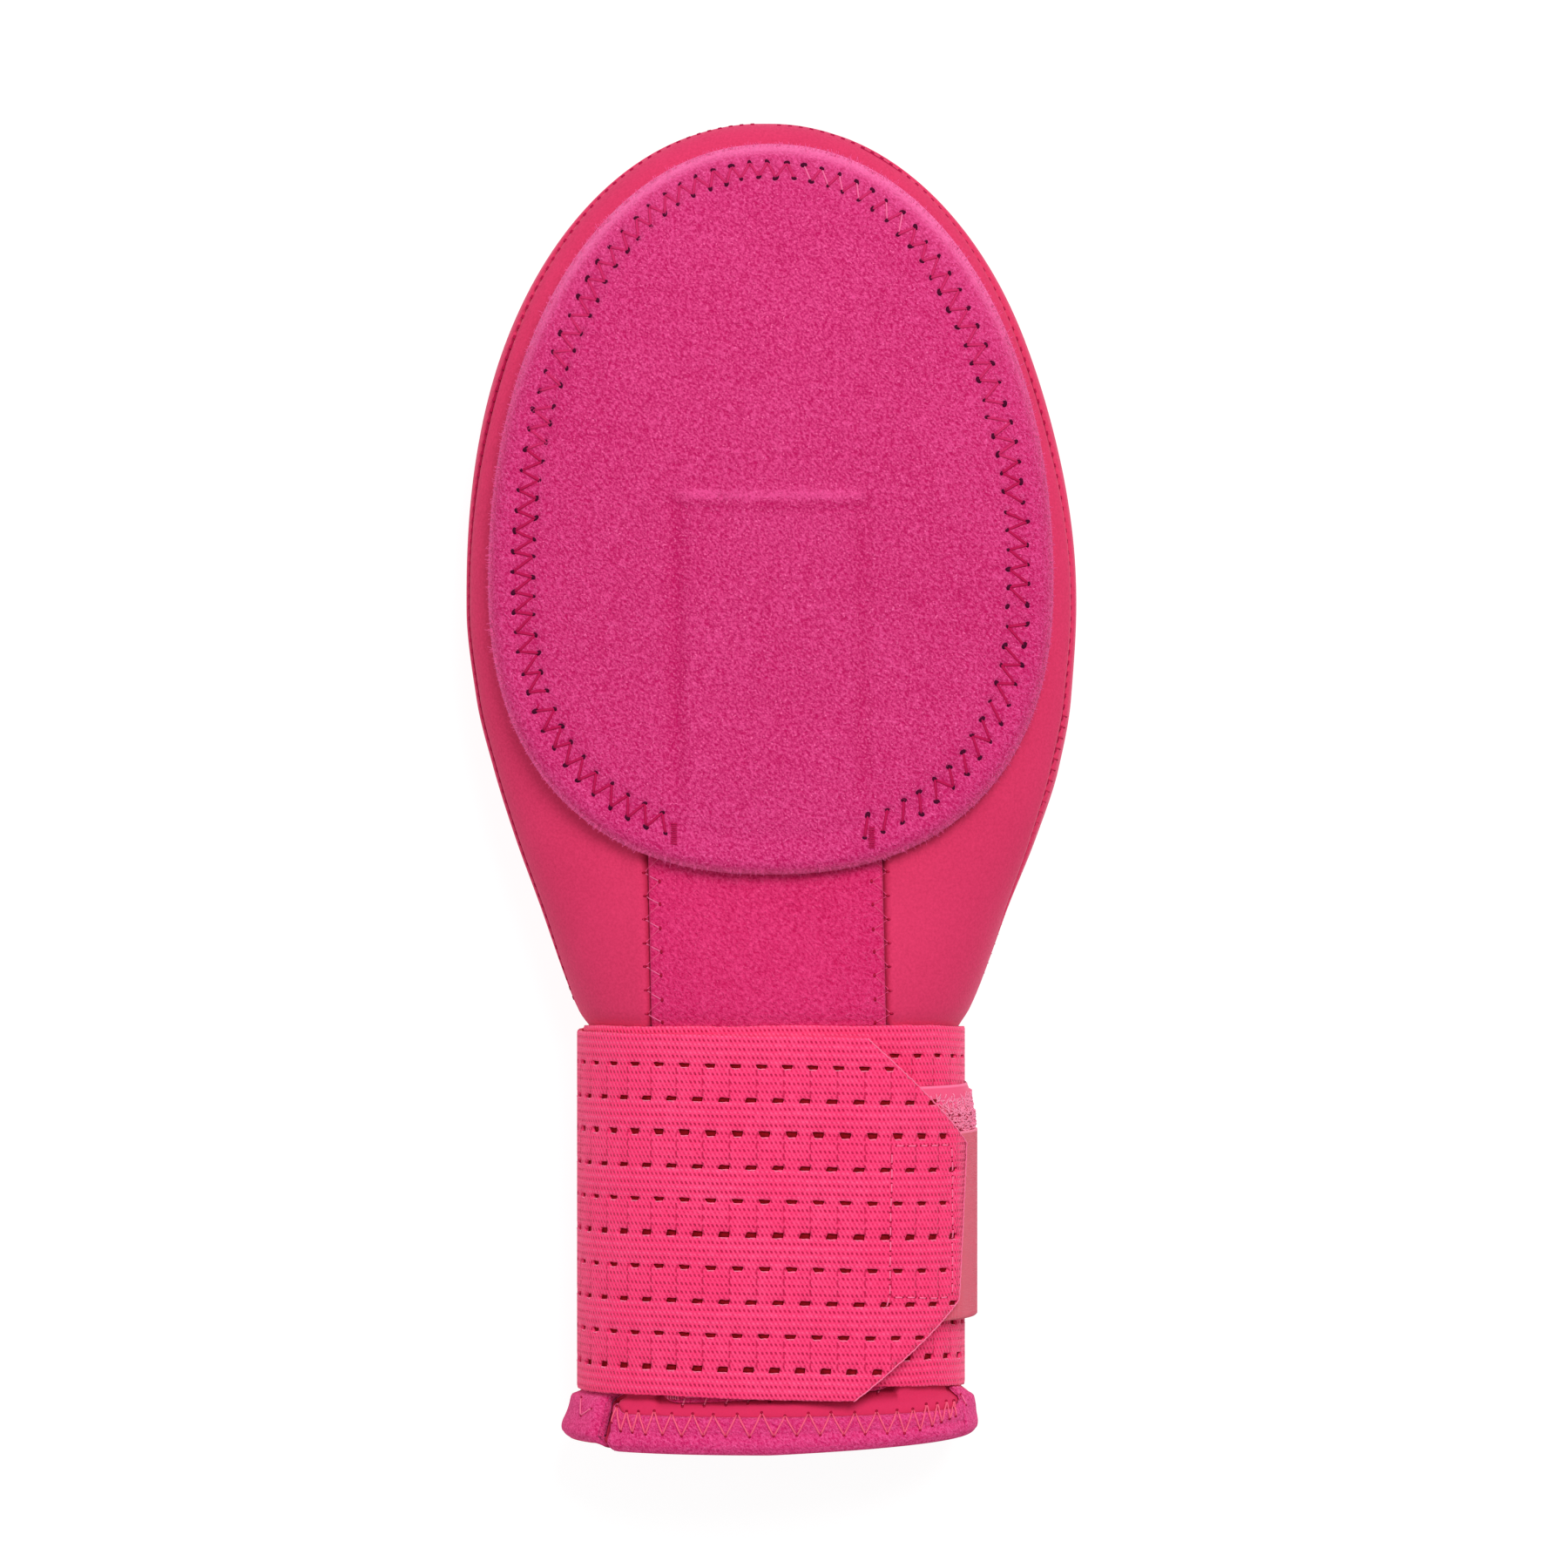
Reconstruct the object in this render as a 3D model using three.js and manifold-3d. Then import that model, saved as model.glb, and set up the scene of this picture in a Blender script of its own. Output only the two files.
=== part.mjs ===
// A padded sliding mitt, worn by a base runner, lying with the back of the hand on the ground.
// Millimetres. +X runs across the palm, +Y towards the fingertips and +Z up out of the palm.
// The origin is on the ground, under the middle of the mitt.

import * as THREE from 'three';
import { mergeVertices } from 'three/addons/utils/BufferGeometryUtils.js';
import Module from 'manifold-3d';

const wasm = await Module();
wasm.setup();

// Gives each number in a table's rows the name of its column.
function namedRows(columns, rows) {
  return rows.map((row) => Object.fromEntries(row.map((value, i) => [columns[i], value])));
}

// Cloth and foam
const GAP = 0.3;              // clearance between pieces that lie on each other
const WALL = 3;               // neoprene of the two shell panels
const ELASTIC = 1.2;          // knitted elastic of the wrist strap
const FASTENER = 1.1;         // loop patch and hook tab, each
const FLEECE = 1.2;           // binding of the cuff and the splint pocket
const PAD = 5.2;              // foam pad with its brushed cover

// Outline from above
const HEM_Y = -148.6;         // end of the cuff, at the folded edge of the binding
const NOSE_Y = 38.6;          // widest place of the hand, where the rounded fingers begin
const NOSE_LENGTH = 110;      // from there to the fingertips
const NOSE_SHIFT = 0.55;      // share of that length over which the middle and the seams drift
const NOSE_PLAN_ROUND = 2.1;  // roundness of the fingers seen from above, 2 is an ellipse
const NOSE_SIDE_ROUND = 3;    // and seen from the side
const TIP = { centre: -1.2, widest: 12, seamLeft: 8, seamRight: 8 };
const BACK_ROUND = 2.6;       // roundness of the back half of each section
const BACK_SWELL = 1.12;      // how far the back would swell if the ground didn't flatten it
const RIM_Y = HEM_Y + FLEECE + GAP;
const HEM_SLANT = { from: -136, rise: 0.05 }; // the cuff is cut shorter towards the right

// Sections of the shell's outer face, from the rim of the cuff to the widest place of the hand.
// left, right: sides in X. widest: height of the sides. top, bottom: heights of palm and back.
// round: roundness of the palm half. seamLeft, seamRight: degrees from the sides up to the seams.
const SECTION_COLUMNS = ['y', 'left', 'right', 'widest', 'top', 'bottom', 'round', 'seamLeft', 'seamRight'];
const SECTIONS = namedRows(SECTION_COLUMNS, [
  [ RIM_Y, -45.4, 44.8,   19, 47.2, 1.5,  2.3, 38, 22],
  [  -140, -43.9, 44.6, 18.5, 46.8, 1.5,  2.3, 37, 22],
  [-137.8, -43.4, 44.5, 17.5, 46.2, 1.5,  2.3, 36, 22],
  [-136.4, -40.9,   43,   17, 45.2, 1.5,  2.3, 36, 22],
  [-135.6, -40.7, 42.2,   17,   45, 1.5,  2.3, 35, 22],
  [ -54.4, -40.7, 42.2,   17,   45, 1.5,  2.3,  1,  1],
  [ -53.4,   -41, 42.5,   17,   45, 1.4,  2.3,  0,  0],
  [ -51.8, -43.2, 44.4,   17, 46.2, 1.2,  2.3,  0,  0],
  [ -44.2, -46.3, 47.7,   17, 45.4, 0.4, 2.35,  0,  0],
  [ -28.5, -51.8, 53.2, 17.4,   43,   0,  2.5,  0,  3],
  [ -12.8, -57.5, 59.5, 17.8,   41,   0,  2.7,  0,  9],
  [   2.9, -62.4, 64.8,   18, 39.5,   0,  2.9,  0, 14],
  [  18.6, -66.3, 67.7,   18, 38.5,   0,    3,  0, 16],
  [NOSE_Y, -68.5, 68.7,   18,   38,   0,    3,  0, 16],
]);
const SECTION_STEP = 14;      // longest stretch between two rings of the shell
const NOSE_STEPS = 11;
const PALM_COLUMNS = 20;
const BACK_COLUMNS = 16;

// Palm pad: an egg-shaped outline round its widest place
const PAD_OUTLINE = {
  centre: 0,
  wideY: 44.6,
  halfWidth: 62.9,
  above: { length: 98.2, round: 2.07 },
  below: { length: 65.2, round: 2.32 },
};
const PAD_STIFFNESS = 0.2;    // share of the palm's curve across that the foam doesn't follow
const PAD_COLUMNS = 52;
// From the middle of the underside round the edge to the middle of the top.
// reach: share of the outline. height: share of the pad's thickness.
const PAD_ROWS = namedRows(['reach', 'height'], [
  [    0,    0],
  [  0.3,    0],
  [ 0.55,    0],
  [ 0.74,    0],
  [ 0.87,    0],
  [ 0.95,    0],
  [ 0.99,    0],
  [    1,  0.2],
  [    1,  0.6],
  [0.988, 0.86],
  [ 0.96,    1],
  [  0.8,    1],
  [ 0.55,    1],
  [  0.3,    1],
  [    0,    1],
]);

// Splint pocket: a fleece strip let into the palm, from under the pad to the cuff, a little askew
const POCKET = { middle: -1.6, lean: -0.0215, width: 52.2, low: -137.1, high: 60, columns: 6 };

// Wrist strap: one elastic band that starts at the left, lies across the palm side, goes once
// round the wrist, and crosses the palm side again on top of itself to its cut tip.
const STRAP = { y: -95, low: -133.7, width: 80, startAngle: 200, turn: 529, step: 4.5 };
const LAYER = ELASTIC + GAP;
const CLOSURE = 2 * (FASTENER + GAP);
// turn: degrees travelled from the start. grow: distance from the shell. shift: drift in Y.
const STRAP_WINDING = namedRows(['turn', 'grow', 'shift'], [
  [  0,                   GAP, -1.9],
  [ 50,                   GAP, -0.8],
  [110,                   GAP,    0],
  [165,                   GAP, -0.5],
  [200,                   GAP, -1.7],
  [325,                   GAP, -1.8],
  [355,           GAP + LAYER,   -2],
  [380,           GAP + LAYER, -2.4],
  [476,           GAP + LAYER, -2.4],
  [492, GAP + LAYER + CLOSURE, -2.4],
  [529, GAP + LAYER + CLOSURE, -2.4],
]);
const STRAP_TIP = { run: 22, rise: 21.5, steps: 4 };

// Perforations through the strap's outer layer, in rows along it
const HOLE = { length: 2.7, height: 1.3, pitch: 5.95, rowPitch: 7.42 };
const HOLE_ROWS = 10;
const HOLE_COLUMNS = 12;
const HOLE_EDGE = 6.3;        // from the strap's upper edge to the first row
const HOLE_FIRST = 8.5;       // from the strap's tip to the nearest column
const HOLE_MARGIN = 1.6;      // cloth left between a hole and the cut corners of the tip

// Closure on the right of the wrist, as spans of angle round the wrist and of Y
const LOOP_PATCH = { from: 60, to: -25, low: -120, high: -69.2, steps: 9 };
const HOOK_TAB = { from: 63, to: -12, low: -119.8, high: -78, steps: 8 };

// Binding of the cuff, folded round the rim: points as Y and distance from the shell's outer face
const BINDING_FACE = 8.8;     // width that shows outside
const BINDING_INSIDE = 7.4;
const BINDING_FOLD = 1;       // rounding of the folded edge

const lerp = THREE.MathUtils.lerp;
const radians = THREE.MathUtils.degToRad;

// Values of a table's columns at a place, joined smoothly and with no overshoot.
function sampleTable(rows, key, place) {
  const at = THREE.MathUtils.clamp(place, rows[0][key], rows.at(-1)[key]);
  const upper = Math.max(1, rows.findIndex((row) => row[key] >= at));
  const [before, from, to, after] = [-2, -1, 0, 1].map((step) => rows[upper + step]);
  const span = to[key] - from[key];
  const t = (at - from[key]) / span;
  const slope = (a, b, column) => (a && b ? (b[column] - a[column]) / (b[key] - a[key]) : 0);
  const bend = (a, b) => (a * b > 0 ? (2 * a * b) / (a + b) : 0);
  const values = {};
  for (const column of Object.keys(from)) {
    const middle = slope(from, to, column);
    const start = bend(slope(before, from, column), middle) * span;
    const end = bend(middle, slope(to, after, column)) * span;
    const curve = t * (1 - t) * ((1 - t) * start - t * end);
    values[column] = lerp(from[column], to[column], t * t * (3 - 2 * t)) + curve;
  }
  return values;
}

function sampleLinear(rows, key, place) {
  const upper = Math.max(1, rows.findIndex((row) => row[key] >= place));
  const [from, to] = [rows[upper - 1], rows[upper]];
  const t = (place - from[key]) / (to[key] - from[key]);
  return Object.fromEntries(Object.keys(from).map((column) => [column, lerp(from[column], to[column], t)]));
}

// Height of an arch over the place u between its middle, 0, and its foot, 1.
function arch(u, round) {
  return Math.max(0, 1 - Math.abs(u) ** round) ** (1 / round);
}

// A point of a superellipse with unit axes, at an angle.
function rounded(angle, round) {
  const power = 2 / round;
  const [c, s] = [Math.cos(angle), Math.sin(angle)];
  return { across: Math.sign(c) * Math.abs(c) ** power, up: Math.sign(s) * Math.abs(s) ** power };
}

// The shell's section at Y, grown outwards by some millimetres.
function section(y, grow) {
  const row = sampleTable(SECTIONS, 'y', y);
  const along = THREE.MathUtils.clamp((y - NOSE_Y) / (NOSE_LENGTH + grow), 0, 1);
  const side = arch(along, NOSE_SIDE_ROUND);
  const drift = THREE.MathUtils.smoothstep(along, 0, NOSE_SHIFT);
  return {
    centre: lerp((row.left + row.right) / 2, TIP.centre, drift),
    half: ((row.right - row.left) / 2 + grow) * arch(along, NOSE_PLAN_ROUND),
    widest: lerp(row.widest, TIP.widest, along ** 2),
    rise: (row.top - row.widest + grow) * side,
    drop: ((row.widest - row.bottom) * BACK_SWELL + grow) * side,
    floor: row.bottom - grow,
    round: row.round,
    side,
    seamLeft: radians(lerp(row.seamLeft, TIP.seamLeft, drift)),
    seamRight: radians(lerp(row.seamRight, TIP.seamRight, drift)),
  };
}

function sectionPoint(y, grow, angle) {
  const s = section(y, grow);
  const palm = Math.sin(angle) >= 0;
  const { across, up } = rounded(angle, palm ? s.round : BACK_ROUND);
  const z = palm ? s.widest + s.rise * up : Math.max(s.floor, s.widest + s.drop * up);
  return new THREE.Vector3(s.centre + s.half * across, y, z);
}

// Height of the palm at a place seen from above.
function palmHeight(x, y, grow) {
  const s = section(y, grow);
  return s.widest + s.rise * arch(Math.min(1, (x - s.centre) / s.half), s.round);
}

// A closed solid through rings with the same even number of points. Each end is closed by rungs
// between the first and the second half of its ring; a ring drawn in to one point needs none.
function loft(rings) {
  const count = rings[0].length;
  const faces = [];
  for (let row = 0; row + 1 < rings.length; row++) {
    for (let i = 0; i < count; i++) {
      const [a, b] = [row * count + i, row * count + ((i + 1) % count)];
      faces.push([a, b, b + count], [a, b + count, a + count]);
    }
  }
  const last = (rings.length - 1) * count;
  for (let i = 0; i + 1 < count / 2; i++) {
    const j = count - 1 - i;
    faces.push([i, j, j - 1], [i, j - 1, i + 1]);
    faces.push([last + i, last + i + 1, last + j - 1], [last + i, last + j - 1, last + j]);
  }
  const raw = new THREE.BufferGeometry();
  const points = rings.flat().flatMap((point) => point.toArray());
  raw.setAttribute('position', new THREE.Float32BufferAttribute(points, 3));
  raw.setIndex(faces.flat());
  return closed(mergeVertices(raw));
}

// Drops faces that merging has drawn in to a line, and turns all faces outwards.
function closed(geometry) {
  const index = geometry.getIndex().array;
  const position = geometry.getAttribute('position');
  const corner = (i) => new THREE.Vector3().fromBufferAttribute(position, i);
  const faces = [];
  let volume = 0;
  for (let i = 0; i < index.length; i += 3) {
    const [a, b, c] = index.slice(i, i + 3);
    if (a === b || b === c || c === a) continue;
    faces.push([a, b, c]);
    volume += corner(a).dot(corner(b).cross(corner(c)));
  }
  const outward = volume > 0 ? faces : faces.map(([a, b, c]) => [a, c, b]);
  geometry.setIndex(outward.flat());
  return geometry;
}

function toSolid(geometry) {
  const vertProperties = new Float32Array(geometry.getAttribute('position').array);
  const triVerts = new Uint32Array(geometry.getIndex().array);
  return new wasm.Manifold(new wasm.Mesh({ numProp: 3, vertProperties, triVerts }));
}

function fromSolid(solid) {
  const mesh = solid.getMesh();
  const geometry = new THREE.BufferGeometry();
  geometry.setAttribute('position', new THREE.Float32BufferAttribute(mesh.vertProperties, 3));
  geometry.setIndex(new THREE.Uint32BufferAttribute(mesh.triVerts, 1));
  return geometry;
}

function cut(geometry, cutters) {
  return fromSolid(wasm.Manifold.difference([geometry, ...cutters].map(toSolid)));
}

// Places from low to high, no further apart than a step, with every section of the table between.
function stationsBetween(low, high, step = SECTION_STEP) {
  const fixed = [low, ...SECTIONS.map((row) => row.y).filter((y) => y > low && y < high), high];
  return fixed.flatMap((y, i) => {
    if (i === 0) return [y];
    const pieces = Math.ceil((y - fixed[i - 1]) / step);
    return Array.from({ length: pieces }, (_, k) => lerp(fixed[i - 1], y, (k + 1) / pieces));
  });
}

// Rings of the shell from the rim to the fingertips, for a face grown by some millimetres.
function shellStations(grow) {
  const nose = Array.from({ length: NOSE_STEPS }, (_, k) => {
    const { up } = rounded(((k + 1) / NOSE_STEPS) * (Math.PI / 2), NOSE_PLAN_ROUND);
    return { y: NOSE_Y + (NOSE_LENGTH + grow) * up, grow };
  });
  return [...stationsBetween(RIM_Y, NOSE_Y).map((y) => ({ y, grow })), ...nose];
}

// One panel of cloth between the side seams, through a list of places on its outer face and a
// list of as many on its inner face. The two panels part by half a gap each along the seams.
function panel(outer, inner, side, columns) {
  const away = side === 'palm' ? GAP / 2 : -GAP / 2;
  const rings = Array.from({ length: columns + 1 }, (_, column) => {
    const onSeam = column === 0 || column === columns;
    return [...outer, ...inner.toReversed()].map(({ y, grow }) => {
      const s = section(y, grow);
      const left = (side === 'palm' ? Math.PI : -Math.PI) - s.seamLeft;
      const point = sectionPoint(y, grow, lerp(s.seamRight, left, column / columns));
      const slant = THREE.MathUtils.smoothstep(-y, -HEM_SLANT.from, -HEM_Y);
      if (point.z > s.floor) point.z += away * (onSeam ? 1 : 1 - s.side);
      point.y += slant * HEM_SLANT.rise * Math.max(0, point.x);
      return point;
    });
  });
  return loft(rings);
}

// A strip that follows the palm's surface, between two distances from it.
function palmStrip({ middle, lean, width, low, high, columns }, inner, outer) {
  const row = (y, grow) => Array.from({ length: columns + 1 }, (_, i) => {
    const x = middle + lean * y + width * (i / columns - 0.5);
    return new THREE.Vector3(x, y, palmHeight(x, y, grow));
  });
  const rings = stationsBetween(low, high).map((y) => [...row(y, outer), ...row(y, inner).toReversed()]);
  return loft(rings);
}

function padOutline(angle) {
  const half = Math.sin(angle) >= 0 ? PAD_OUTLINE.above : PAD_OUTLINE.below;
  const { across, up } = rounded(angle, half.round);
  return { x: PAD_OUTLINE.halfWidth * across, y: half.length * up };
}

function palmPad() {
  const rings = PAD_ROWS.map(({ reach, height }) => (
    Array.from({ length: PAD_COLUMNS }, (_, column) => {
      const edge = padOutline((2 * Math.PI * column) / PAD_COLUMNS);
      const [x, y] = [PAD_OUTLINE.centre + reach * edge.x, PAD_OUTLINE.wideY + reach * edge.y];
      const under = palmHeight(x, y, GAP);
      const over = lerp(under, palmHeight(PAD_OUTLINE.centre, y, GAP), PAD_STIFFNESS) + PAD;
      return new THREE.Vector3(x, y, lerp(under, over, height));
    })
  ));
  return loft(rings);
}

// The middle of the strap's thickness along its winding, seen along Y.
class StrapPath extends THREE.Curve {
  getPoint(t, target = new THREE.Vector3()) {
    const turn = t * STRAP.turn;
    const { grow } = sampleLinear(STRAP_WINDING, 'turn', turn);
    return target.copy(sectionPoint(STRAP.y, grow + ELASTIC / 2, radians(STRAP.startAngle - turn)));
  }
}

// A band of cloth round the wrist: places along it give its angle, grow, low and high edge.
function wristBand(places, thickness) {
  const rings = places.map(({ angle, grow, low, high }) => {
    const inner = sectionPoint(STRAP.y, grow, radians(angle));
    const outer = sectionPoint(STRAP.y, grow + thickness, radians(angle));
    return [inner.clone().setY(low), outer.clone().setY(low), outer.setY(high), inner.setY(high)];
  });
  return loft(rings);
}

// How far the cut corners of the tip reach in from each edge of the strap.
function tipChamfer(distance, length) {
  return (Math.max(0, distance - (length - STRAP_TIP.run)) * STRAP_TIP.rise) / STRAP_TIP.run;
}

function wristStrap(path) {
  const length = path.getLength();
  const straight = length - STRAP_TIP.run;
  const pieces = Math.round(straight / STRAP.step);
  const tipStep = STRAP_TIP.run / STRAP_TIP.steps;
  const along = [
    ...Array.from({ length: pieces }, (_, i) => (straight * i) / pieces),
    ...Array.from({ length: STRAP_TIP.steps + 1 }, (_, i) => straight + tipStep * i),
  ];
  const places = along.map((distance) => {
    const turn = STRAP.turn * path.getUtoTmapping(distance / length);
    const { grow, shift } = sampleLinear(STRAP_WINDING, 'turn', turn);
    const chamfer = tipChamfer(distance, length);
    const low = STRAP.low + shift;
    return { angle: STRAP.startAngle - turn, grow, low: low + chamfer, high: low + STRAP.width - chamfer };
  });
  return cut(wristBand(places, ELASTIC), perforations(path, length));
}

// Boxes through the outer layer only, turned to face out of it, in rows that alternate.
function perforations(path, length) {
  const holes = [];
  for (let row = 0; row < HOLE_ROWS; row++) {
    for (let column = 0; column < HOLE_COLUMNS; column++) {
      const distance = length - HOLE_FIRST - (column + (row % 2) / 2) * HOLE.pitch;
      const fromEdge = HOLE_EDGE + row * HOLE.rowPitch;
      const nearest = Math.min(fromEdge, STRAP.width - fromEdge) - tipChamfer(distance, length);
      if (nearest < HOLE_MARGIN) continue;
      const t = path.getUtoTmapping(distance / length);
      const { shift } = sampleLinear(STRAP_WINDING, 'turn', t * STRAP.turn);
      const tangent = path.getTangent(t);
      const hole = new THREE.BoxGeometry(HOLE.length, HOLE.height, ELASTIC + GAP);
      hole.deleteAttribute('normal');
      hole.deleteAttribute('uv');
      hole.rotateY(Math.atan2(-tangent.z, tangent.x));
      hole.translate(...path.getPoint(t).setY(STRAP.low + STRAP.width + shift - fromEdge).toArray());
      holes.push(mergeVertices(hole));
    }
  }
  return holes;
}

// A piece of the closure on the right of the wrist, with a free edge at each end.
function closurePiece({ from, to, low, high, steps }, grow) {
  const places = Array.from({ length: steps + 1 }, (_, i) => (
    { angle: lerp(from, to, i / steps), grow, low, high }
  ));
  return wristBand(places, FASTENER);
}

function cuffBinding(side, columns) {
  const outside = GAP + FLEECE;
  const inside = -WALL - GAP - FLEECE;
  const fold = HEM_Y + BINDING_FOLD;
  const face = [
    { y: HEM_Y + BINDING_FACE, grow: outside },
    { y: fold, grow: outside },
    { y: HEM_Y, grow: outside - BINDING_FOLD },
    { y: HEM_Y, grow: inside + BINDING_FOLD },
    { y: fold, grow: inside },
    { y: HEM_Y + BINDING_INSIDE, grow: inside },
  ];
  const cloth = [
    { y: HEM_Y + BINDING_FACE, grow: GAP },
    { y: HEM_Y + FLEECE, grow: GAP },
    { y: HEM_Y + FLEECE, grow: GAP },
    { y: HEM_Y + FLEECE, grow: -WALL - GAP },
    { y: HEM_Y + FLEECE, grow: -WALL - GAP },
    { y: HEM_Y + BINDING_INSIDE, grow: -WALL - GAP },
  ];
  return panel(face, cloth, side, columns);
}

function piece(name, geometry, color, roughness) {
  const mesh = new THREE.Mesh(geometry, new THREE.MeshStandardMaterial({ color, roughness, metalness: 0 }));
  mesh.name = name;
  return mesh;
}

const [outerFace, innerFace] = [shellStations(0), shellStations(-WALL)];
const palmPanel = panel(outerFace, innerFace, 'palm', PALM_COLUMNS);
const recess = palmStrip(
  { ...POCKET, width: POCKET.width + 2 * GAP, low: POCKET.low - GAP, high: POCKET.high + GAP },
  -FLEECE - GAP,
  FLEECE,
);
const strapPath = new StrapPath();

const mitt = new THREE.Group();
mitt.name = 'sliding_mitt';
mitt.add(
  piece('palm_shell', cut(palmPanel, [recess]), 0xe03c6c, 0.8),
  piece('back_shell', panel(outerFace, innerFace, 'back', BACK_COLUMNS), 0xdc3a69, 0.8),
  piece('palm_pad', palmPad(), 0xce3472, 0.95),
  piece('splint_pocket', palmStrip(POCKET, -FLEECE, 0), 0xda326e, 0.95),
  piece('wrist_strap', wristStrap(strapPath), 0xe7426e, 0.7),
  piece('loop_patch', closurePiece(LOOP_PATCH, GAP + LAYER), 0xee5883, 0.95),
  piece('hook_tab', closurePiece(HOOK_TAB, GAP + LAYER + FASTENER + GAP), 0xde6e82, 0.45),
  piece('cuff_binding_palm', cuffBinding('palm', PALM_COLUMNS), 0xd63d75, 0.95),
  piece('cuff_binding_back', cuffBinding('back', BACK_COLUMNS), 0xce356d, 0.95),
);

export default mitt;
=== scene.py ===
# %% [markdown]
# A sliding mitt is a padded bag for one hand, worn by a base runner who slides in head first.
# This lesson dresses its plain solids: cloth, foam, elastic and thread, each with its own finish.
# The solids are loaded first and never moved, so every piece below is made in their frame:
# +X across the palm, +Y to the fingertips, +Z up out of the palm, and the back on the ground.

# %% Load the solids
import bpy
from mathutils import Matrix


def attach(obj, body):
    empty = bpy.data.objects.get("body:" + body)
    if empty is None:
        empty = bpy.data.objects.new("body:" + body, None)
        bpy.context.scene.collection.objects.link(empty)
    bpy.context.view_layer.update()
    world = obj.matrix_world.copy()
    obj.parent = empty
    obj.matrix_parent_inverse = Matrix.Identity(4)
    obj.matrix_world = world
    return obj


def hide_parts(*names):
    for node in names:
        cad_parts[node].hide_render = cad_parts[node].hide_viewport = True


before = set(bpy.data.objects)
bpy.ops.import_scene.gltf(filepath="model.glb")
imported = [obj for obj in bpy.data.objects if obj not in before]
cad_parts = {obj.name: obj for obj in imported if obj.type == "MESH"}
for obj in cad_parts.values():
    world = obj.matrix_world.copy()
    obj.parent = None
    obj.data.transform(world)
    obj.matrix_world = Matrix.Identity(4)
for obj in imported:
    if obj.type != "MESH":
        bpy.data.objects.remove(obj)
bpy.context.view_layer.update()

from types import SimpleNamespace

import bmesh
import bpy
import numpy as np
from mathutils import Vector
from mathutils.bvhtree import BVHTree

MM = 0.001
random = np.random.default_rng(7)
print("solids:", sorted(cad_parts))

# %% [markdown]
# The shell is a tube of foam rubber, wide at the hand, narrow at the wrist and round at the
# fingertips. It could be sculpted, but then no other piece would know where its surface is.
# A short table of sections and one formula give every point of it instead, and the pad, the
# strap and each stitch ask the same formula for their place.

# %% Sizes of the shell, in millimetres
HEM_Y = -148.6
NOSE_Y = 38.6
NOSE_LENGTH = 110
NOSE_SHIFT = 0.55
NOSE_PLAN_ROUND = 2.1
NOSE_SIDE_ROUND = 3
TIP_CENTRE = -1.2
TIP_WIDEST = 12
TIP_SEAM = 17
BACK_ROUND = 2.6
BACK_SWELL = 1.12
GAP = 0.3
NEOPRENE = 3.0
FLEECE = 1.2
RIM_Y = HEM_Y + FLEECE + GAP
SLANT_FROM = -136.0
SLANT_RISE = 0.05
# Columns: y, left, right, height of the sides, top, bottom, roundness of the palm half,
# degrees from the left side up to its seam, and from the right side up to its seam.
SECTIONS = np.array([
    [RIM_Y, -45.4, 44.8, 19, 47.2, 1.5, 2.3, 38, 22],
    [-140, -43.9, 44.6, 18.5, 46.8, 1.5, 2.3, 37, 22],
    [-137.8, -43.4, 44.5, 17.5, 46.2, 1.5, 2.3, 36, 22],
    [-136.4, -40.9, 43, 17, 45.2, 1.5, 2.3, 36, 22],
    [-135.6, -40.7, 42.2, 17, 45, 1.5, 2.3, 35, 22],
    [-55.4, -40.7, 42.2, 17, 45, 1.5, 2.3, 1, 1],
    [-53.6, -42, 43.2, 17, 45.3, 1.4, 2.3, 0, 0],
    [-51.8, -43.2, 44.4, 17, 46.2, 1.2, 2.3, 2, 0],
    [-44.2, -46.3, 47.7, 17, 45.4, 0.4, 2.35, 7, 1.5],
    [-28.5, -51.8, 53.2, 17.4, 43, 0, 2.5, 10, 8],
    [-12.8, -57.5, 59.5, 17.8, 41, 0, 2.7, 10, 13],
    [2.9, -62.4, 64.8, 18, 39.5, 0, 2.9, 10, 15.5],
    [18.6, -66.3, 67.7, 18, 38.5, 0, 3, 10, 14.5],
    [NOSE_Y, -68.5, 68.7, 18, 38, 0, 3, 9.5, 12.5],
])
print("sections of the shell:", len(SECTIONS))


# %% Read the table
def smoothstep(x, low, high):
    t = np.clip((x - low) / (high - low), 0, 1)
    return t * t * (3 - 2 * t)


def arch(u, power):
    return np.maximum(0, 1 - np.abs(u) ** power) ** (1 / power)


def signed_power(value, power):
    """A power that keeps the sign: it squares off the circle of a sine and a cosine."""
    return np.sign(value) * np.abs(value) ** power


def read_table(table, place):
    """Columns of a table at many places, joined smoothly and with no overshoot."""
    keys = table[:, 0]
    slopes = np.diff(table, axis=0) / np.diff(keys)[:, None]
    product = slopes[:-1] * slopes[1:]
    total = np.where(product > 0, slopes[:-1] + slopes[1:], 1)
    bends = np.zeros_like(table)
    bends[1:-1] = np.where(product > 0, 2 * product / total, 0)
    at = np.clip(place, keys[0], keys[-1])
    upper = np.clip(np.searchsorted(keys, at), 1, len(keys) - 1)
    span = (keys[upper] - keys[upper - 1])[..., None]
    t = (at - keys[upper - 1])[..., None] / span
    curve = t * (1 - t) * ((1 - t) * bends[upper - 1] - t * bends[upper]) * span
    return table[upper - 1] + (table[upper] - table[upper - 1]) * t * t * (3 - 2 * t) + curve


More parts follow.
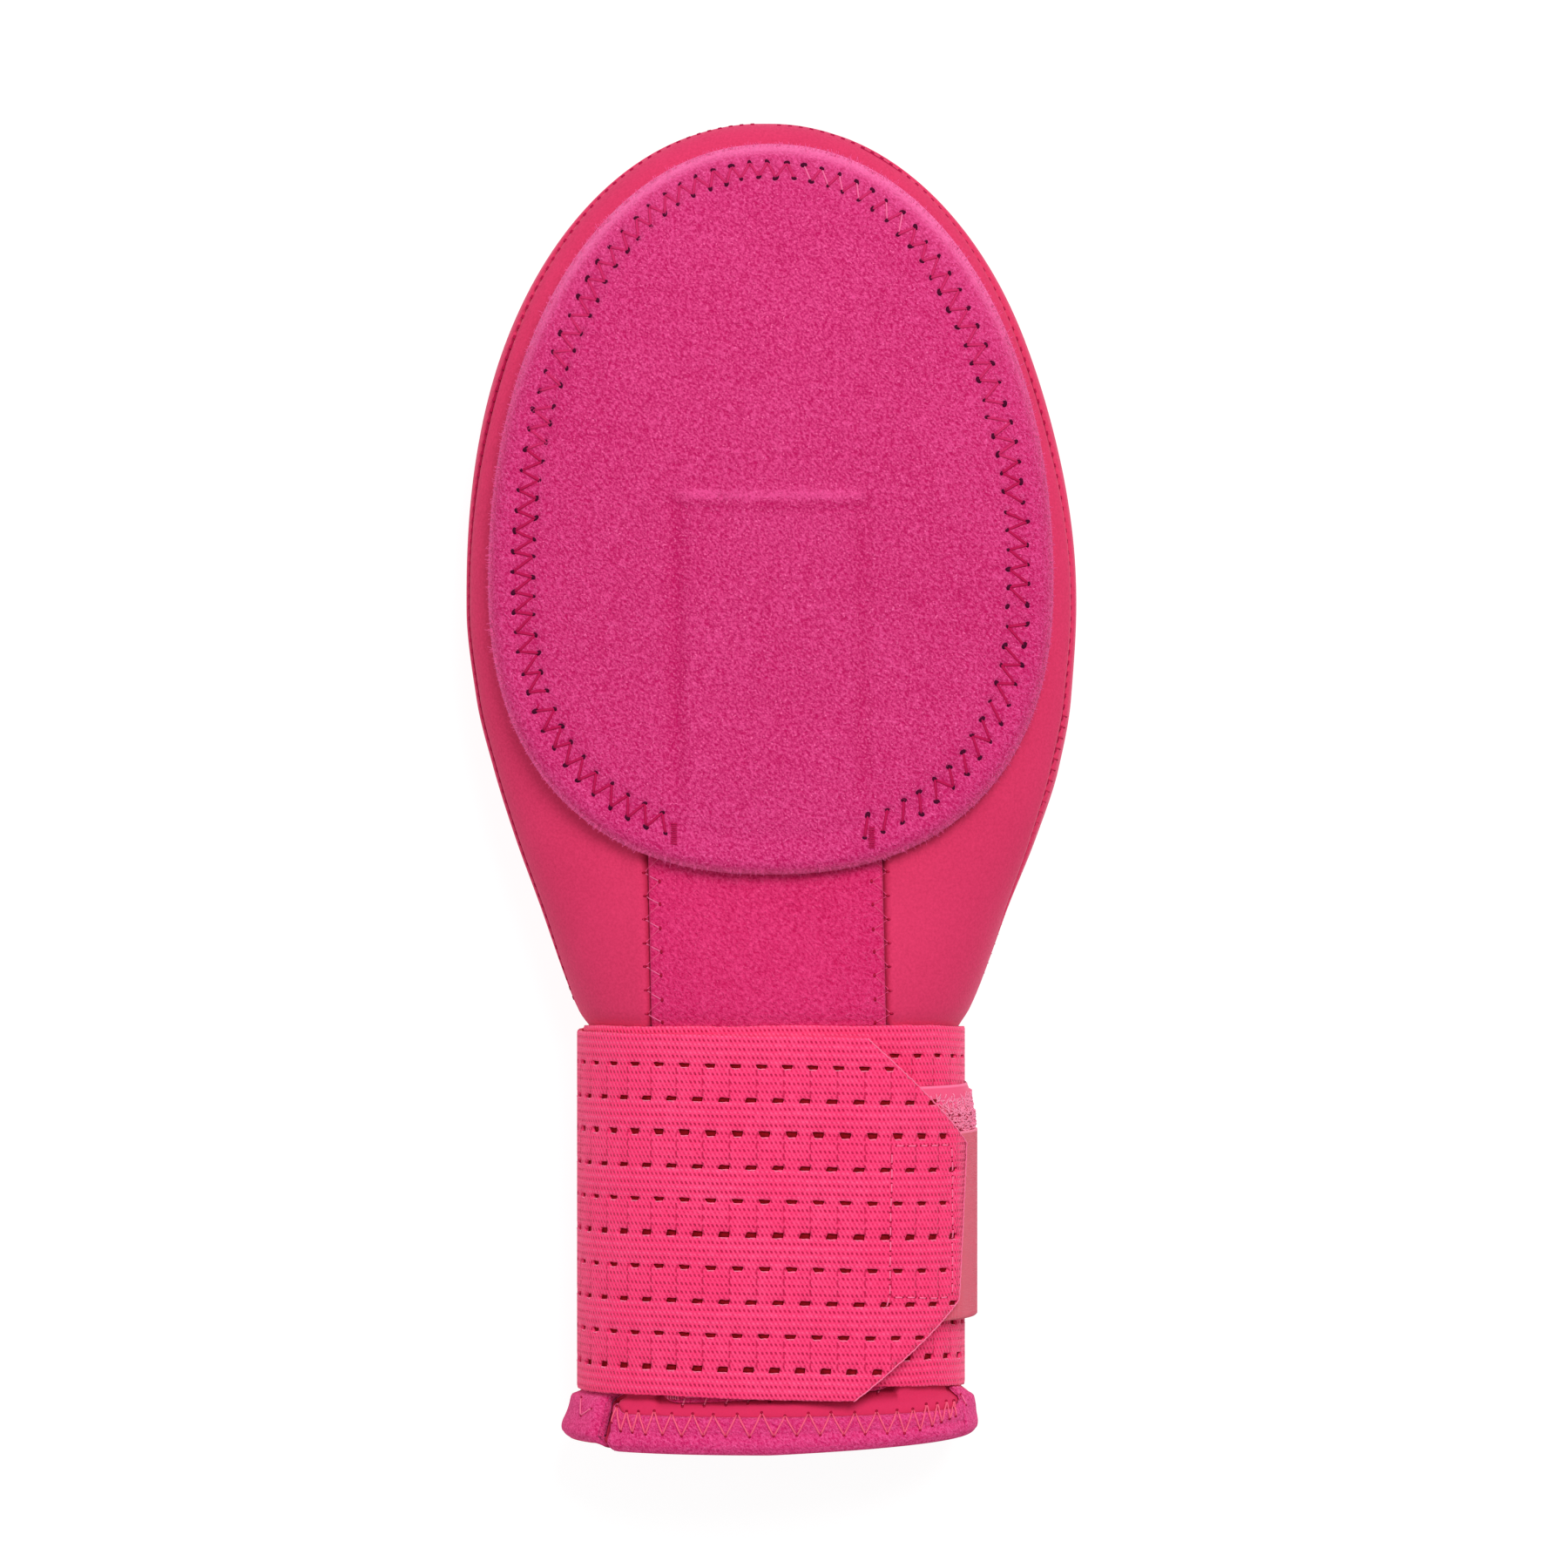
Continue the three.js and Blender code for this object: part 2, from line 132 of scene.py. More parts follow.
def section(y, grow):
    """The shell's section at y, grown outwards by some millimetres."""
    y, grow = np.broadcast_arrays(np.asarray(y, float), grow)
    row = np.moveaxis(read_table(SECTIONS, y), -1, 0)
    left, right, widest, top, bottom, power, seam_left, seam_right = row[1:]
    along = np.clip((y - NOSE_Y) / (NOSE_LENGTH + grow), 0, 1)
    side = arch(along, NOSE_SIDE_ROUND)
    drift = smoothstep(along, 0, NOSE_SHIFT)
    middle = (left + right) / 2
    return SimpleNamespace(
        centre=middle + (TIP_CENTRE - middle) * drift,
        half=((right - left) / 2 + grow) * arch(along, NOSE_PLAN_ROUND),
        widest=widest + (TIP_WIDEST - widest) * along ** 2,
        rise=(top - widest + grow) * side,
        drop=((widest - bottom) * BACK_SWELL + grow) * side,
        floor=bottom - grow,
        power=power,
        side=side,
        seam_left=np.radians(seam_left + (TIP_SEAM - seam_left) * drift),
        seam_right=np.radians(seam_right + (TIP_SEAM - seam_right) * drift),
    )


print("width at the knuckles:", round(2 * float(section(NOSE_Y, 0).half), 1), "mm")

# %% Place points on the shell
FLOOR_BLEND = 1.5
TAPERED = 0.2


def shell_point(y, grow, angle):
    """A point of the shell at an angle round its section: 0 is right, 90 degrees the palm."""
    s = section(y, grow)
    palm = np.sin(angle) >= 0
    power = 2 / np.where(palm, s.power, BACK_ROUND)
    across = signed_power(np.cos(angle), power)
    up = signed_power(np.sin(angle), power)
    low = s.widest + s.drop * up
    ease = np.maximum(FLOOR_BLEND - np.abs(low - s.floor), 0)
    resting = np.maximum(low, s.floor) + ease ** 2 / (4 * FLOOR_BLEND) * (s.side > TAPERED)
    z = np.where(palm, s.widest + s.rise * up, resting)
    y = np.broadcast_to(y, z.shape)
    return np.stack([s.centre + s.half * across, y, z], axis=-1)


def palm_height(x, y, grow=0.0):
    """Height of the palm's surface over a place on the ground."""
    s = section(y, grow)
    u = np.minimum(1, np.abs(x - s.centre) / np.maximum(s.half, 1e-6))
    return s.widest + s.rise * arch(u, s.power)


print("the fingertips reach y =", NOSE_Y + NOSE_LENGTH, "mm")

# %% [markdown]
# Every piece is made from arrays of points, because the same few steps then serve all of them:
# a grid of points becomes quads, and a pair of grids becomes a sheet of cloth with a real
# thickness. The edges of cloth are rolled over, since a cut edge of foam or felt is never sharp.


# %% Helpers that turn arrays into meshes
WELD = 1e-6


def grid_faces(rows, columns, ring=False):
    """Quads of a grid of points, counted row by row; in a ring the last column meets the first."""
    row, column = np.meshgrid(np.arange(rows - 1), np.arange(columns - (not ring)), indexing="ij")
    ahead = (column + 1) % columns
    corners = [row * columns + column, row * columns + ahead, (row + 1) * columns + ahead,
               (row + 1) * columns + column]
    return np.stack(corners, axis=-1).reshape(-1, 4)


def slab(outer, inner):
    """Points and quads of a closed sheet between two grids of the same size."""
    rows, columns = outer.shape[:2]
    points = np.concatenate([outer.reshape(-1, 3), inner.reshape(-1, 3)])
    face = grid_faces(rows, columns)
    index = np.arange(rows * columns).reshape(rows, columns)
    rim = np.concatenate([index[0], index[1:, -1], index[-1, -2::-1], index[-2:0:-1, 0]])
    ahead = np.roll(rim, -1)
    below = rows * columns
    edge = np.stack([rim, rim + below, ahead + below, ahead], axis=-1)
    return points, np.concatenate([face, face[:, ::-1] + below, edge])


def make_piece(name, points, faces, material, slot, replaces=(), attribute=None):
    """A mesh object from points in millimetres, riding on the one body of the mitt."""
    mesh = bpy.data.meshes.new(name)
    corners = (np.asarray(points) * MM).tolist()
    mesh.from_pydata(corners, [], [list(map(int, face)) for face in faces])
    if attribute is not None:
        layer = mesh.attributes.new("cloth_mm", "FLOAT_VECTOR", "POINT")
        layer.data.foreach_set("vector", np.asarray(attribute, np.float32).ravel())
    tidy = bmesh.new()
    tidy.from_mesh(mesh)
    bmesh.ops.remove_doubles(tidy, verts=tidy.verts, dist=WELD)
    bmesh.ops.recalc_face_normals(tidy, faces=tidy.faces)
    tidy.to_mesh(mesh)
    tidy.free()
    mesh.polygons.foreach_set("use_smooth", np.ones(len(mesh.polygons), bool))
    mesh.materials.append(material)
    piece = bpy.data.objects.new(name, mesh)
    bpy.context.scene.collection.objects.link(piece)
    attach(piece, "root")
    if replaces:
        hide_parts(*replaces)
    mesh.calc_loop_triangles()
    print(f"{name}: {len(mesh.loop_triangles)} triangles")
    return piece


print("a grid of 3 by 4 points has", len(grid_faces(3, 4)), "quads")

# %% [markdown]
# Soft things are never quite even. Distances to an edge, a rounded fall towards it and a few slow
# waves are enough to say where cloth is pressed, rolled or puffed, so no surface is sculpted.


# %% Helpers for soft shapes
def distance_to(curve, points):
    """How far each point is from a line of points."""
    nearest = np.full(len(points), np.inf)
    for start, end in zip(curve[:-1], curve[1:]):
        step = end - start
        share = np.clip((points - start) @ step / max(step @ step, 1e-12), 0, 1)
        away = points - start - share[:, None] * step
        nearest = np.minimum(nearest, np.einsum("ij,ij->i", away, away))
    return np.sqrt(nearest)


def rolled(distance, radius):
    """How far a rounded edge lies below its sheet, at a distance from the edge."""
    inside = np.clip(radius - distance, 0, radius)
    return radius - np.sqrt(radius ** 2 - inside ** 2)


def clustered(count):
    """Shares from 0 to 1 that lie closer together near both ends."""
    return (1 - np.cos(np.pi * np.linspace(0, 1, count))) / 2


def waves(points, length, depth, seed):
    """Slow unevenness: a few sines in directions of their own."""
    draw = np.random.default_rng(seed)
    total = 0
    for _ in range(4):
        way = draw.normal(size=3)
        way *= 2 * np.pi / (length * draw.uniform(0.7, 1.4) * np.linalg.norm(way))
        total = total + np.sin(points @ way + draw.uniform(0, 2 * np.pi))
    return depth * total / 4


print("a rounded edge of 1 mm falls by", rolled(np.array([0.0, 0.5, 1.0]), 1).round(2), "mm")

# %% [markdown]
# A thread is a thin tube. It comes up through one needle hole, lies on the cloth and goes down
# through the next, so each stitch is a short arch with both ends below the surface. Curves with
# a bevel would do, but one mesh for a whole seam is lighter.


# %% Threads and stitches
def tubes(paths, radius, sides=6):
    """Closed tubes along many paths, given as an array of paths, steps and coordinates."""
    paths = np.asarray(paths, float)
    count, steps = paths.shape[:2]
    ahead = np.gradient(paths, axis=1)
    ahead /= np.linalg.norm(ahead, axis=-1, keepdims=True)
    helper = np.where(np.abs(ahead[..., 2:]) < 0.9, [0.0, 0, 1], [0.0, 1, 0])
    side = np.cross(ahead, helper)
    side /= np.linalg.norm(side, axis=-1, keepdims=True)
    up = np.cross(side, ahead)
    turn = 2 * np.pi * np.arange(sides) / sides
    ring = side[:, :, None] * np.cos(turn)[:, None] + up[:, :, None] * np.sin(turn)[:, None]
    points = (paths[:, :, None] + radius * ring).reshape(-1, 3)
    start = np.arange(count)[:, None, None] * steps * sides
    faces = (grid_faces(steps, sides, ring=True)[None] + start).reshape(-1, 4).tolist()
    for first in (start.ravel() + 0, start.ravel() + (steps - 1) * sides):
        faces += (first[:, None] + np.arange(sides)).tolist()
    return points, faces


def sew(name, paths, radius, material, slot="thread", sides=6):
    """A piece of thread or yarn, from the paths that it takes."""
    return make_piece(name, *tubes(paths, radius, sides), material, slot)


def stitches(place, starts, ends, lift, sink, steps=8):
    """Arched thread paths between needle holes; place puts flat points on the cloth."""
    starts, ends = np.asarray(starts, float), np.asarray(ends, float)
    t = np.linspace(0, 1, steps)[None, :, None]
    flat = starts[:, None] + (ends - starts)[:, None] * t
    height = -sink + (sink + lift) * np.minimum(1, 3.2 * arch(2 * t[..., 0] - 1, 2))
    height = np.broadcast_to(height, flat.shape[:2])
    return place(flat.reshape(-1, 2), height.ravel()).reshape(*flat.shape[:2], 3)


print("faces of one straight thread:", len(tubes([[[0, 0, 0], [1, 0, 0]]], 0.1)[1]))

# %% [markdown]
# Where the needle goes in, the cloth shows a dark dot: the shade in the hole. It is a small lens of
# painted shade, a little proud at its rim so that it always shows. A real hole would need a cut in
# the cloth for each stitch.

# %% Needle holes
HOLE_RIM = 0.05
HOLE_CROWN = 0.1
HOLE_FLOOR = -0.4


def needle_holes(place, centres, radius, stretch=(1.0, 1.0), sides=8, twist=0.0):
    """Small lenses let into the cloth where the needle went through, each turned by its twist."""
    centres = np.asarray(centres, float)
    turn = 2 * np.pi * np.arange(sides) / sides
    x, y = np.cos(turn) * stretch[0], np.sin(turn) * stretch[1]
    count = len(centres)
    twist = np.broadcast_to(twist, count)[:, None]
    cos, sin = np.cos(twist), np.sin(twist)
    ring = np.stack([x * cos - y * sin, x * sin + y * cos], axis=-1)
    ring = np.broadcast_to(radius, count)[:, None, None] * ring
    rim = place((centres[:, None] + ring).reshape(-1, 2), np.full(count * sides, HOLE_RIM))
    top = place(centres, np.full(count, HOLE_CROWN))
    bottom = place(centres, np.full(count, HOLE_FLOOR))
    points = np.concatenate([rim.reshape(count, sides, 3), top[:, None], bottom[:, None]], axis=1)
    fan = [[i, (i + 1) % sides, sides] for i in range(sides)]
    fan += [[(i + 1) % sides, i, sides + 1] for i in range(sides)]
    faces = (np.array(fan)[None] + (np.arange(count) * (sides + 2))[:, None, None]).reshape(-1, 3)
    return points.reshape(-1, 3), faces


def pierce(name, place, centres, radius, material, **shape):
    """A piece that is a row of needle holes."""
    return make_piece(name, *needle_holes(place, centres, radius, **shape), material, "thread")


print("a needle hole is", round(HOLE_CROWN - HOLE_FLOOR, 2), "mm deep")

# %% [markdown]
# A seam is planned flat, like on a pattern, and has to end up on the puffed cloth. A Shrinkwrap
# modifier would press a whole mesh on. Dropping each point straight down with a ray keeps the
# plan as it is seen from above, and the height of the thread is added along the surface's normal.

# %% Drop flat points onto a piece
HIGH_ABOVE = 100
UP = Vector((0, 0, 1))


def on_top_of(*pieces):
    """A function that drops flat points onto pieces from above and then lifts them."""
    trees = []
    for piece in pieces:
        mesh = piece.data
        corners = [v.co / MM for v in mesh.vertices]
        trees.append(BVHTree.FromPolygons(corners, [tuple(p.vertices) for p in mesh.polygons]))

    def place(flat, height):
        placed = []
        for (x, y), lift in zip(flat, height):
            hits = [tree.ray_cast(Vector((x, y, HIGH_ABOVE)), -UP) for tree in trees]
            hits = [(spot, normal) for spot, normal, *_ in hits if spot is not None]
            hits = hits or [(Vector((x, y, 0)), UP)]
            spot, normal = max(hits, key=lambda hit: hit[0].z)
            if normal.z < 0:
                normal = -normal
            placed.append(spot + normal * float(lift))
        return np.array(placed)

    return place


print("points are dropped from", HIGH_ABOVE, "mm above the ground")

# %% [markdown]
# A finish is a small tree of shader nodes. Written one node at a time it hides its own idea, so
# the class below wraps a socket: adding or multiplying two of them adds the Math node, and the
# formula stays readable. Colours need a Mix node instead, because a Math node turns them grey.


# %% Shader sockets as Python values
class Value:
    """A number that varies over a surface."""

    def __init__(self, finish, socket):
        self.finish = finish
        self.socket = socket

    def math(self, operation, *others):
        sockets = dict(enumerate((self, *others)))
        node = self.finish.node("ShaderNodeMath", {"operation": operation}, sockets)
        return Value(self.finish, node.outputs[0])

    def __add__(self, other):
        return self.math("ADD", other)

    def __mul__(self, other):
        return self.math("MULTIPLY", other)

    def __sub__(self, other):
        return self.math("SUBTRACT", other)

    def __rsub__(self, other):
        return self * -1 + other

    def __truediv__(self, other):
        return self.math("DIVIDE", other)

    __radd__ = __add__
    __rmul__ = __mul__

    def clear(self, low, high):
        """0 below low, 1 above high, and a smooth way between."""
        settings = {"interpolation_type": "SMOOTHSTEP", "clamp": True}
        sockets = {"Value": self, "From Min": low, "From Max": high}
        node = self.finish.node("ShaderNodeMapRange", settings, sockets)
        return Value(self.finish, node.outputs["Result"])


print("a value adds its own Math nodes for + - * and /")

# %% [markdown]
# Every cloth here is a Principled shader with little shine. One class makes the material, adds
# any node through a single method, and feeds the colour and a bump at the end. The place on the
# piece comes from its object coordinates, or from flat coordinates that the cloth carries.

# %% A finish whose nodes come from one method
DULL = 0.12


def toned(color, tone):
    """A colour made darker or lighter by one share, or by a share for each channel."""
    shares = tone if isinstance(tone, tuple) else (tone,) * 3
    return tuple(min(1, c * k) for c, k in zip(color, shares))


class Finish:
    """A material whose nodes come from one method."""

    def __init__(self, name, **constants):
        self.material = bpy.data.materials.new(name)
        self.material.use_nodes = True
        self.tree = self.material.node_tree
        self.shader = self.tree.nodes["Principled BSDF"]
        self.shader.inputs["Specular IOR Level"].default_value = DULL
        for socket, value in constants.items():
            self.shader.inputs[socket.replace("_", " ").title()].default_value = value
        coordinates = self.node("ShaderNodeTexCoord", {}, {})
        self.place = coordinates.outputs["Object"]

    def node(self, kind, settings, sockets):
        node = self.tree.nodes.new(kind)
        for key, value in settings.items():
            setattr(node, key, value)
        for key, value in sockets.items():
            self.feed(node.inputs[key], value)
        return node

    def feed(self, socket, value):
        if isinstance(value, Value):
            value = value.socket
        if isinstance(value, bpy.types.NodeSocket):
            self.tree.links.new(value, socket)
        else:
            socket.default_value = value

    def noise(self, scale, detail=2.0, roughness=0.5, place=None):
        sockets = {"Vector": place or self.place, "Scale": scale, "Detail": detail}
        node = self.node("ShaderNodeTexNoise", {}, {**sockets, "Roughness": roughness})
        return Value(self, node.outputs["Fac"])

    def stretched(self, scales):
        sockets = {0: self.place, 1: scales}
        return self.node("ShaderNodeVectorMath", {"operation": "MULTIPLY"}, sockets).outputs[0]

    def mix(self, low, high, share):
        low, high = [(*c, 1) if isinstance(c, tuple) else c for c in (low, high)]
        node = self.node("ShaderNodeMix", {"data_type": "RGBA"}, {0: share, 6: low, 7: high})
        return node.outputs[2]

    def up_the_hand(self):
        """Distance along Y, in millimetres."""
        parts = self.node("ShaderNodeSeparateXYZ", {}, {0: self.place})
        return Value(self, parts.outputs[1]) * 1000.0

    def slanted(self, turn, scales):
        """Places turned about Z and stretched, so that noise comes out as short slanted strokes."""
        scale = tuple(1 / s for s in scales)
        sockets = {"Vector": self.place, "Rotation": (0, 0, turn), "Scale": scale}
        return self.node("ShaderNodeMapping", {"vector_type": "TEXTURE"}, sockets).outputs[0]

    def cloth_mm(self):
        """Places along, across and through the cloth, in millimetres."""
        layer = self.node("ShaderNodeAttribute", {"attribute_name": "cloth_mm"}, {})
        parts = self.node("ShaderNodeSeparateXYZ", {}, {0: layer.outputs["Vector"]})
        return [Value(self, parts.outputs[k]) for k in range(3)]

    def done(self, color, height, depth):
        """Feeds the colour, and a height in shares of a depth in metres to the normal."""
        sockets = {"Height": height, "Distance": depth, "Strength": 1.0}
        bump = self.node("ShaderNodeBump", {}, sockets)
        self.feed(self.shader.inputs["Base Color"], color)
        self.feed(self.shader.inputs["Normal"], bump.outputs[0])
        return self.material


print("tones of a mid grey:", toned((0.5, 0.5, 0.5), 0.8), toned((0.5, 0.5, 0.5), (1, 1.2, 1.4)))

# %% [markdown]
# The photograph was taken from straight above in a white light tent. A long lens at 1.3 m gives
# the same slight perspective, and one wide soft light with a bright room round it the same
# shading, a little stronger from the fingertips and the right.

# %% Camera, floor and light
CAMERA_PLACE = (0.00294, -0.00062, 1.3)
LENS = 130.64
SENSOR = 36
ROOM_LIGHT = 0.5
FLOOR_REACH = 3.0
FLOOR_UNDER = -0.00015
scene = bpy.context.scene
scene.view_settings.view_transform = "Standard"
camera = bpy.data.objects.new("camera", bpy.data.cameras.new("camera"))
camera.location = CAMERA_PLACE
camera.data.lens = LENS
camera.data.sensor_width = SENSOR
scene.collection.objects.link(camera)
scene.camera = camera

world = bpy.data.worlds.new("soft_room")
world.use_nodes = True
room = world.node_tree.nodes["Background"]
room.inputs["Color"].default_value = (1, 1, 1, 1)
room.inputs["Strength"].default_value = ROOM_LIGHT
scene.world = world


def soft_light(name, place, width, power):
    light = bpy.data.lights.new(name, "AREA")
    light.shape = "DISK"
    light.size = width
    light.energy = power
    lamp = bpy.data.objects.new(name, light)
    lamp.location = place
    lamp.rotation_euler = (-Vector(place)).to_track_quat("-Z", "Y").to_euler()
    scene.collection.objects.link(lamp)


soft_light("tent_top", (0.4, 0.8, 1.5), 0.8, 22)
soft_light("tent_left", (-1.1, -0.1, 0.9), 0.8, 2.8)

floor_mesh = bpy.data.meshes.new("floor")
sides = ((-1, -1), (1, -1), (1, 1), (-1, 1))
corners = [(x * FLOOR_REACH, y * FLOOR_REACH, FLOOR_UNDER) for x, y in sides]
floor_mesh.from_pydata(corners, [], [(0, 1, 2, 3)])
floor_finish = Finish("pale_floor", roughness=0.9, base_color=(0.16, 0.16, 0.16, 1),
                      emission_color=(1, 1, 1, 1), emission_strength=0.9)
floor_mesh.materials.append(floor_finish.material)
floor = bpy.data.objects.new("floor", floor_mesh)
scene.collection.objects.link(floor)
print("camera height:", CAMERA_PLACE[2], "m")

# %% [markdown]
# The shell is foam rubber faced with a fine stretch jersey. Up close it shows tiny knitted
# ridges and a soft sheen at grazing angles, and from afar only a slow unevenness of colour.
# Noise at two scales makes both, so nothing repeats. Below the strap, at the cuff, the foam
# lies in the strap's shade, and that shade is painted into its colour.


# %% Neoprene finish
# Tones: darker and lighter at random, and a painted shade for the foam under the strap.
NEOPRENE_TONES = ((0.85, 0.75, 0.8), (1.14, 1.3, 1.22), (1.05, 0.75, 0.9))
GROOVE_TONE = (0.5, 0.12, 0.25)
# The painted shade under the strap sets in between these places along Y, in millimetres.
STRAP_SHADE_BELOW = (-134, -130)


def neoprene(name, color):
    finish = Finish(name, roughness=0.78, sheen_weight=0.27, sheen_roughness=0.4,
                    sheen_tint=(1.0, 0.35, 0.5, 1))
    slow = finish.noise(55, 2)
    fine = finish.noise(1700, 3, 0.65)
    ridges = finish.noise(1.0, 1, place=finish.stretched((3600, 1100, 2000)))
    shade = (slow - 0.5) * 0.4 + (fine - 0.5) * 1.7 + 0.5
    dark, light, deep = [toned(color, tone) for tone in NEOPRENE_TONES]
    # Painted shade: below the strap the foam is coloured as if it lay in the strap's shade.
    below = 1 - finish.up_the_hand().clear(*STRAP_SHADE_BELOW)
    tint = finish.mix(finish.mix(dark, light, shade), deep, below * 0.8)
    # A panel carries the shadow of its groove where other cloth carries its flat coordinates.
    tint = finish.mix(tint, toned(color, GROOVE_TONE), finish.cloth_mm()[0] * 0.8)
    return finish.done(tint, fine * 0.5 + ridges * 0.5, 0.00012)


NEOPRENE_PALM = neoprene("neoprene_palm", (0.62, 0.03, 0.11))
NEOPRENE_BACK = neoprene("neoprene_back", (0.66, 0.032, 0.11))
print("neoprene finishes ready")

# %% [markdown]
# The pad is covered with brushed fleece. Its nap is thousands of short fibres that lie this way
# and that, so the eye sees flecks a millimetre long, some darker and a few that sparkle. Real
# hair would be too heavy, so three noises share the work: flecks, sparkles and a fine bump. The
# sparkles are painted glints. Near its rim the pad's nap gets a painted highlight, and where the
# splint shows through, a painted shade and highlight.


# %% Fleece finishes
FLEECE_TONES = ((0.8, 0.16, 0.6), (1.22, 2.15, 1.6))
# Colour added for painted highlights: the nap's glints and its lit rim.
SPARK = (0.38, 0.13, 0.25)
# Where the splint's edges show on the pad, in millimetres.
SPLINT = {"left": -20.5, "right": 20.2, "low": -0.6, "top": 62.6}


def splint_light_and_shade(aside, up):
    """Painted shade and highlight of the splint: dark beside it and below its end, light on its
    ridge.
    """
    left, right, low, top = [SPLINT[key] for key in ("left", "right", "low", "top")]
    sides = [1 - (aside - at).math("ABSOLUTE").clear(0.4, 3.2) for at in (left, right)]
    down = (sides[0] + sides[1] * 0.6) * up.clear(low - 12, low + 4)
    down = down * (1 - up.clear(top - 1, top + 2))
    inside = aside.clear(left - 1, left + 1) * (1 - aside.clear(right - 1, right + 1))
    ridge = 1 - (up - top - 0.6).math("ABSOLUTE").clear(0.3, 1.8)
    foot = 1 - (up - top + 2.0).math("ABSOLUTE").clear(0.3, 2.0)
    return (ridge * 0.4 - foot * 0.15) * inside - down * 0.2


def fleece(name, color, fleck=1300, contrast=1.0, sparkle=0.5, rim=0.0):
    """Nap in flecks, with painted glints; rim paints a highlight where fibres are seen from their
    side.
    """
    finish = Finish(name, roughness=0.95, sheen_weight=0.2, sheen_roughness=0.35,
                    sheen_tint=(1.0, 0.4, 0.65, 1))
    slow = finish.noise(40, 2)
    strokes = finish.slanted(0.8, (fleck * 1.25, fleck * 0.75, fleck))
    flecks = finish.noise(1.0, 3, 0.7, place=strokes)
    fibres = finish.noise(fleck * 2.3, 2, 0.6)
    # Painted glints: a few spots of the nap are coloured as if they caught the light.
    bright = finish.noise(fleck * 1.4, 1, 0.4).clear(0.64, 0.76) * sparkle
    shade = (slow - 0.5) * 0.3 + (flecks - 0.5) * (4.4 * contrast)
    shade = shade + (fibres - 0.5) * (1.6 * contrast) + 0.42
    dark, light = [toned(color, tone) for tone in FLEECE_TONES]
    spark = tuple(min(1, c + k) for c, k in zip(color, SPARK))
    if rim:
        aside, up, inset = finish.cloth_mm()
        # Painted highlight near the rim, stronger towards the fingertips and the light, with a
        # faint band inside it.
        top = up.clear(60, 135)
        glow = 1 - (inset / (top * 2.2 + 1.6)).clear(0.1, 1.0)
        glow = glow * (0.75 + inset.clear(-0.4, 0.0) * 0.25)
        glow = glow * (0.15 + flecks * 1.1) * (top * 0.8 + 0.5)
        bright = bright.math("MAXIMUM", glow * rim + (1 - inset.clear(2, 11)) * top * 0.14)
        # Painted shade and highlight where the splint shows through the pad.
        shade = shade + splint_light_and_shade(aside, up)
    tint = finish.mix(finish.mix(dark, light, shade), spark, bright)
    return finish.done(tint, flecks * 0.65 + fibres * 0.35, 0.0009)


PAD_FLEECE = fleece("fleece_pad", (0.69, 0.036, 0.185), 1650, 0.85, 0.8, 1.0)
STRIP_FLEECE = fleece("fleece_strip", (0.72, 0.027, 0.148), 1400, 0.6, 0.3)
BINDING_FLEECE = fleece("fleece_binding", (0.82, 0.048, 0.215), 1700, 0.65, 0.4)
print("fleece finishes ready")

# %% [markdown]
# The wrist band is knitted elastic. Its face is rows of slanted loops, staggered like bricks,
# with a dark dot where each loop goes in, deep in one row and faint in the next. Six loops fit
# between two holes and eight rows between two rows of holes, so both are counted from the holes.
# In every second zone the faint rows stand up as ribs, and in the others a thin line runs up
# from each hole. The band carries its own flat coordinates, so the knit bends with the cloth.

# %% Elastic finish
HOLE_PITCH = 5.95
ROW_PITCH = 7.42
HOLE_EDGE = 6.75
HOLE_LENGTH = 2.45
STRAP_WIDTH = 80.0
LOOP_LENGTH = HOLE_PITCH / 6
LOOP_ROW = ROW_PITCH / 8
FULL_TURN = 2 * np.pi
KNIT_TONES = ((0.62, 0.1, 0.4), (1.08, 2.8, 1.7))


